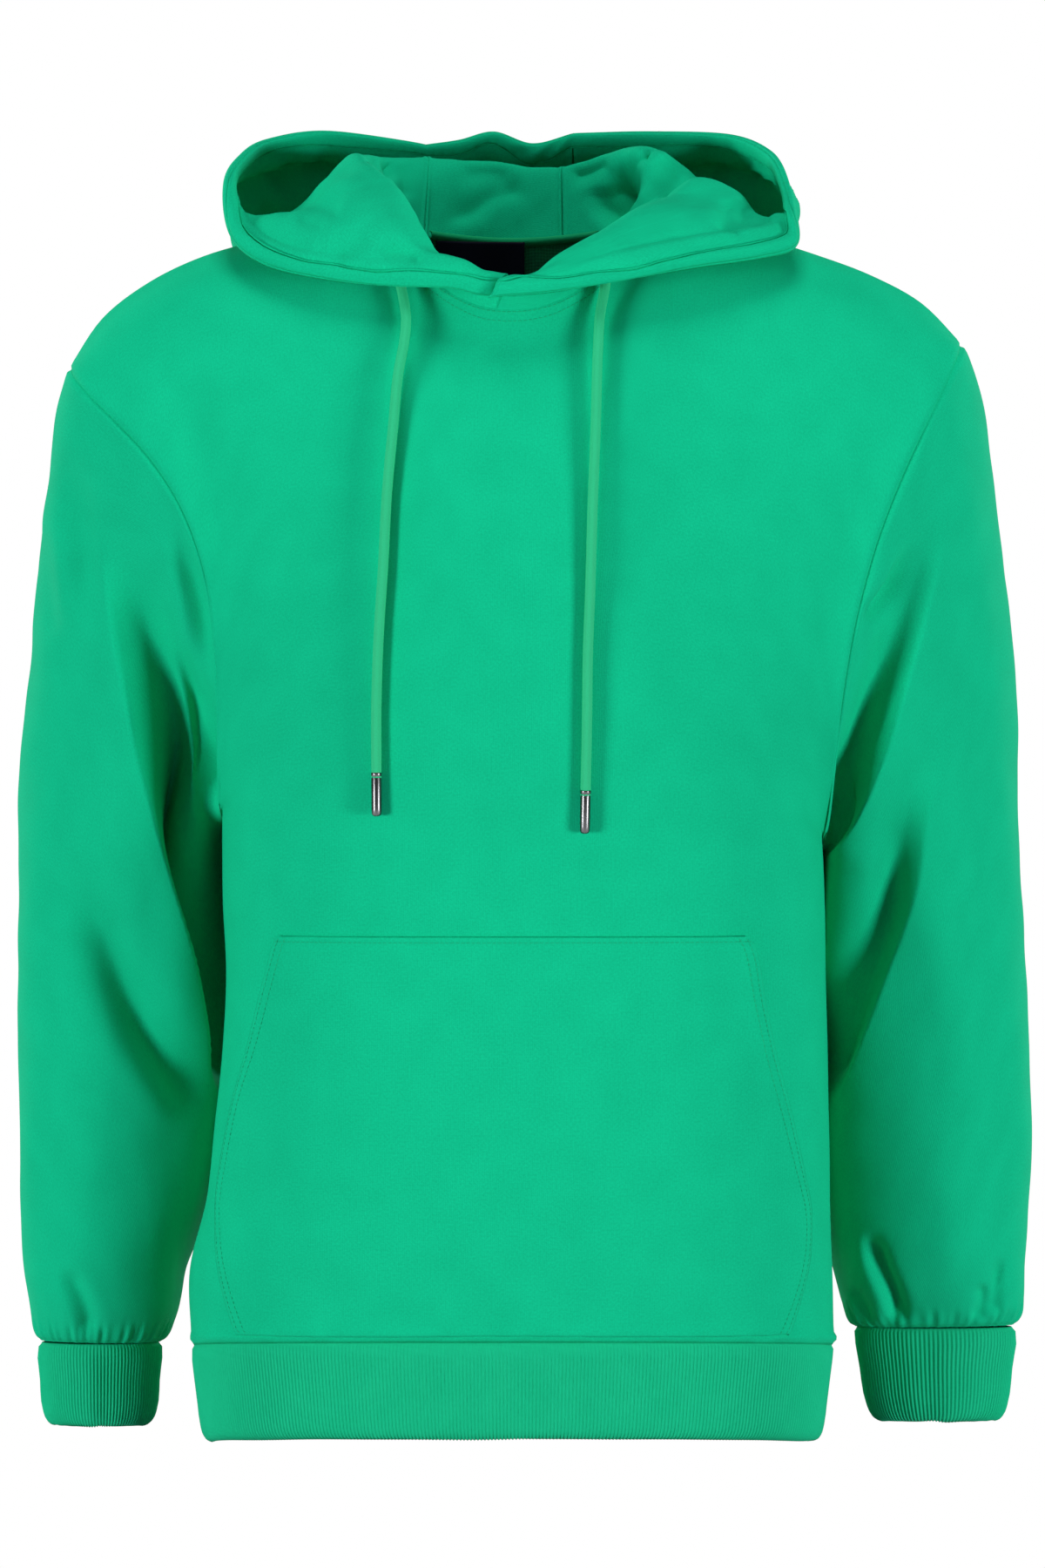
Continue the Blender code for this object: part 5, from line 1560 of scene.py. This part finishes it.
LOBE_CREASES = (
    Crease(((352, 224), (372, 238), (396, 245)), 2.2, 7, 6, 1),
    Crease(((338, 252), (356, 257), (376, 264)), 1.6, 5, 4, 0.8),
    Crease(((381, 294), (404, 284), (426, 270)), 1.8, 6, 5, 1),
    Crease(((430, 286), (465, 289), (492, 297)), 3.5, 6, 4, 1.5, Side.RIGHT),
    Crease(((700, 290), (745, 275), (790, 262)), 1.5, 9, 7, 1),
    Crease(((834, 232), (836, 248), (826, 268)), 5, 9, 6, 1),
    Crease(((855, 236), (856, 246), (850, 258)), 3, 5, 4, 1),
)
HANGING_CREASES = (
    Crease(((381, 160), (375, 178), (366, 205)), 6, 8, 6, 2),
    Crease(((348, 180), (338, 204), (326, 232)), 7, 9, 7, 2),
    Crease(((310, 232), (303, 250), (300, 270)), 5, 7, 5, 2),
    Crease(((815, 176), (812, 195), (806, 220)), 6, 9, 7, 2, Side.RIGHT),
    Crease(((872, 172), (858, 190), (850, 218)), 6, 8, 7, 2, Side.RIGHT),
)
SLEEVE_RIGHT = (
    (-93, -261, -358, -170.5, 2, 82), (-126, -269, -364, -172, 10, 80),
    (-160, -273, -373, -172, 18, 78), (-198, -279, -388, -171, 26, 75),
    (-240, -284, -408, -169, 34, 72), (-284, -287, -430, -167, 40, 70),
    (-328, -291, -454, -165, 44, 67), (-374, -293, -480, -165, 46, 65),
    (-420, -293, -508, -166, 47, 62), (-466, -293, -536, -168, 47, 60),
    (-510, -293, -562, -172, 47, 58), (-548, -292, -586, -179, 46, 56),
    (-580, -291, -606, -187, 45, 54), (-606, -290, -622, -193, 44, 52),
    (-628, -289, -637, -196, 43, 48), (-645, -286, -649, -199, 42, 42),
    (-658, -283, -659, -203, 41, 34), (-665, -280, -666, -208, 40, 27),
)
SLEEVE_LEFT = (
    (-79, 263, -373, 181.0, 2, 82), (-110, 274, -378, 182.5, 10, 80),
    (-146, 281, -386, 183, 18, 78), (-186, 287, -400, 182, 26, 75),
    (-228, 292, -418, 180, 34, 72), (-274, 296, -439, 178, 40, 70),
    (-320, 298, -462, 176, 44, 67), (-366, 300, -487, 175, 46, 65),
    (-412, 302, -513, 175, 47, 62), (-458, 303.5, -540, 176, 47, 60),
    (-502, 305, -565, 178, 47, 58), (-540, 306, -587, 181, 46, 56),
    (-572, 305.5, -606, 184, 45, 53), (-598, 304, -621, 187, 44, 49),
    (-620, 303, -634, 190, 43, 43), (-636, 302, -644, 193, 42, 36),
    (-648, 300, -652, 197, 41, 29), (-656, 295.5, -657, 201, 40, 22.5),
)
CREASES_RIGHT = (
    Crease(((96, 560), (112, 640), (130, 725), (146, 800), (163, 878), (182, 955), (202, 1032),
            (224, 1125), (245, 1219), (256, 1275)),
           46, 26, 13, 4, Side.LEFT, (0.52, 0.12), Form.DROP),
    Crease(((199, 600), (212, 650), (226, 705), (238, 790)), 8, 8, 6, 2, Side.LEFT, (0.4, 0.4)),
    Crease(((180, 730), (196, 800), (213, 855), (234, 905), (250, 940)),
           13, 14, 6, 1.5, Side.LEFT, (0.5, 0.08), Form.DROP),
    Crease(((70, 500), (82, 570), (92, 650), (100, 740)), 8, 12, 8, 2, Side.LEFT, (0.4, 0.4)),
    Crease(((76, 960), (95, 1030), (118, 1088), (160, 1168), (205, 1230), (246, 1285)),
           15, 20, 13, 1.5, Side.LEFT, (0.5, 0.15)),
    Crease(((48, 590), (52, 660), (60, 740)), 4, 8, 6, 1),
    Crease(((70, 1455), (95, 1500), (104, 1535)), 4, 6, 5, 1),
)
CREASES_LEFT = (
    Crease(((1100, 535), (1088, 586), (1077, 645), (1063, 706), (1039, 792), (1008, 888), (972, 960),
            (950, 988)), 31, 14, 9, 3, Side.RIGHT, (0.9, 0.06), Form.DROP),
    Crease(((1052, 618), (1040, 646), (1022, 682), (992, 716)), 11, 8, 4, 2, Side.LEFT, (0.6, 0.25)),
    Crease(((1096, 850), (1070, 922), (1052, 1022), (1022, 1109), (992, 1190), (958, 1272)),
           16, 20, 13, 1.5, Side.RIGHT, (0.5, 0.12), Form.DROP),
    Crease(((992, 1412), (1009, 1457), (1023, 1488), (1034, 1526)), 10, 6, 3.5, 2.5),
    Crease(((975, 1478), (990, 1500), (1000, 1522)), 4, 4, 3, 1),
    Crease(((1128, 1470), (1130, 1495), (1122, 1518)), 4, 4, 3, 1, Side.RIGHT),
    Crease(((1152, 1440), (1146, 1475), (1140, 1512)), 4, 4, 3, 1, Side.RIGHT),
)
CUFF_RIGHT = (
    (-665.5, -280, -208, 27), (-668.5, -280.4, -207.6, 27.2), (-687, -279.0, -209, 26.6),
    (-704, -277.6, -210.4, 26), (-710.5, -275.5, -212.5, 24.5), (-713.4, -273, -215, 22.6),
    (-714, -271, -217, 21),
)
CUFF_LEFT = (
    (-656.5, 295.5, 201, 22.5), (-659.5, 296, 201, 22.7), (-680, 293.6, 204, 22.1),
    (-700, 291.2, 207.4, 21.5), (-707.5, 288.8, 210.3, 20), (-710.8, 286, 213, 18),
    (-711.5, 284, 215, 16.5),
)
HEM_RIB = (
    (0.0, 0.0, 0.0), (2.5, 0.3, 0.2), (18, 2.2, 2.2), (33, 4.1, 4.2), (46.0, 5.8, 6.2),
    (52.0, 7.4, 7.8), (55.0, 9.6, 9.8), (56.0, 12.0, 12.0),
)


def hem_rings(pattern: Pattern) -> Grid:
    """The hem band's rings from the seam down."""
    front = pattern.half_ring(-1, (pattern.hem_side, pattern.hem_side), pattern.hem_lift, 49)
    back = pattern.half_ring(1, (pattern.hem_side, pattern.hem_side), -2, 49)
    ring = np.concatenate([front, back[-2:0:-1]])
    middle = ring.mean(axis=0)
    half = abs(ring - middle).max(axis=0)
    rings = []
    for drop, side_inset, depth_inset in HEM_RIB:
        lower = ring.copy()
        lower[:, 0] = middle[0] + (ring[:, 0] - middle[0]) * (1 - side_inset / half[0])
        lower[:, 1] = middle[1] + (ring[:, 1] - middle[1]) * (1 - depth_inset / half[1])
        lower[:, 2] -= drop
        rings.append(lower)
    return np.array(rings)


def cuff_rings(table: Sequence, middle_y: float) -> Grid:
    """A cuff's rings from the sleeve's seam down."""
    turns = np.arange(44) * 2 * np.pi / 44
    rings = []
    for height, outer_x, inner_x, depth in table:
        x = (outer_x + inner_x) / 2 + (outer_x - inner_x) / 2 * np.cos(turns)
        y = middle_y - depth * np.sin(turns)
        rings.append(np.stack([x, y, np.full(len(turns), float(height))], axis=1))
    return np.array(rings)


def main() -> None:
    """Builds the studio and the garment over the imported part."""
    logging.basicConfig(level=logging.INFO, format="%(name)s: %(message)s")
    for thing in list(bpy.data.objects):
        bpy.data.objects.remove(thing)
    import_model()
    Studio().build()
    pattern = Pattern()
    finishes = Finishes()
    torso = Torso(pattern, finishes)
    torso.shape()
    hood = Hood(torso)
    hood.shape()
    Drawcord("right", hood, CORD_RIGHT).build()
    Drawcord("left", hood, CORD_LEFT).build()
    torso.build()
    hood.build()
    for name, rings, hole, creases, cuff, underarm in (
        ("right", SLEEVE_RIGHT, pattern.armhole_right, CREASES_RIGHT, CUFF_RIGHT, pattern.underarms[0]),
        ("left", SLEEVE_LEFT, pattern.armhole_left, CREASES_LEFT, CUFF_LEFT, pattern.underarms[1]),
    ):
        sleeve = Sleeve("sleeve_" + name, torso, rings, hole, creases, underarm)
        sleeve.shape()
        sleeve.build()
        RibBand("cuff_" + name, finishes, cuff_rings(cuff, rings[-1][4]), 110).build()
    RibBand("hem_rib", finishes, hem_rings(pattern), 480).build()
    pocket = Pocket(torso)
    pocket.shape()
    pocket.build()
    NeckTrim(torso).build()


if __name__ == "__main__":
    main()
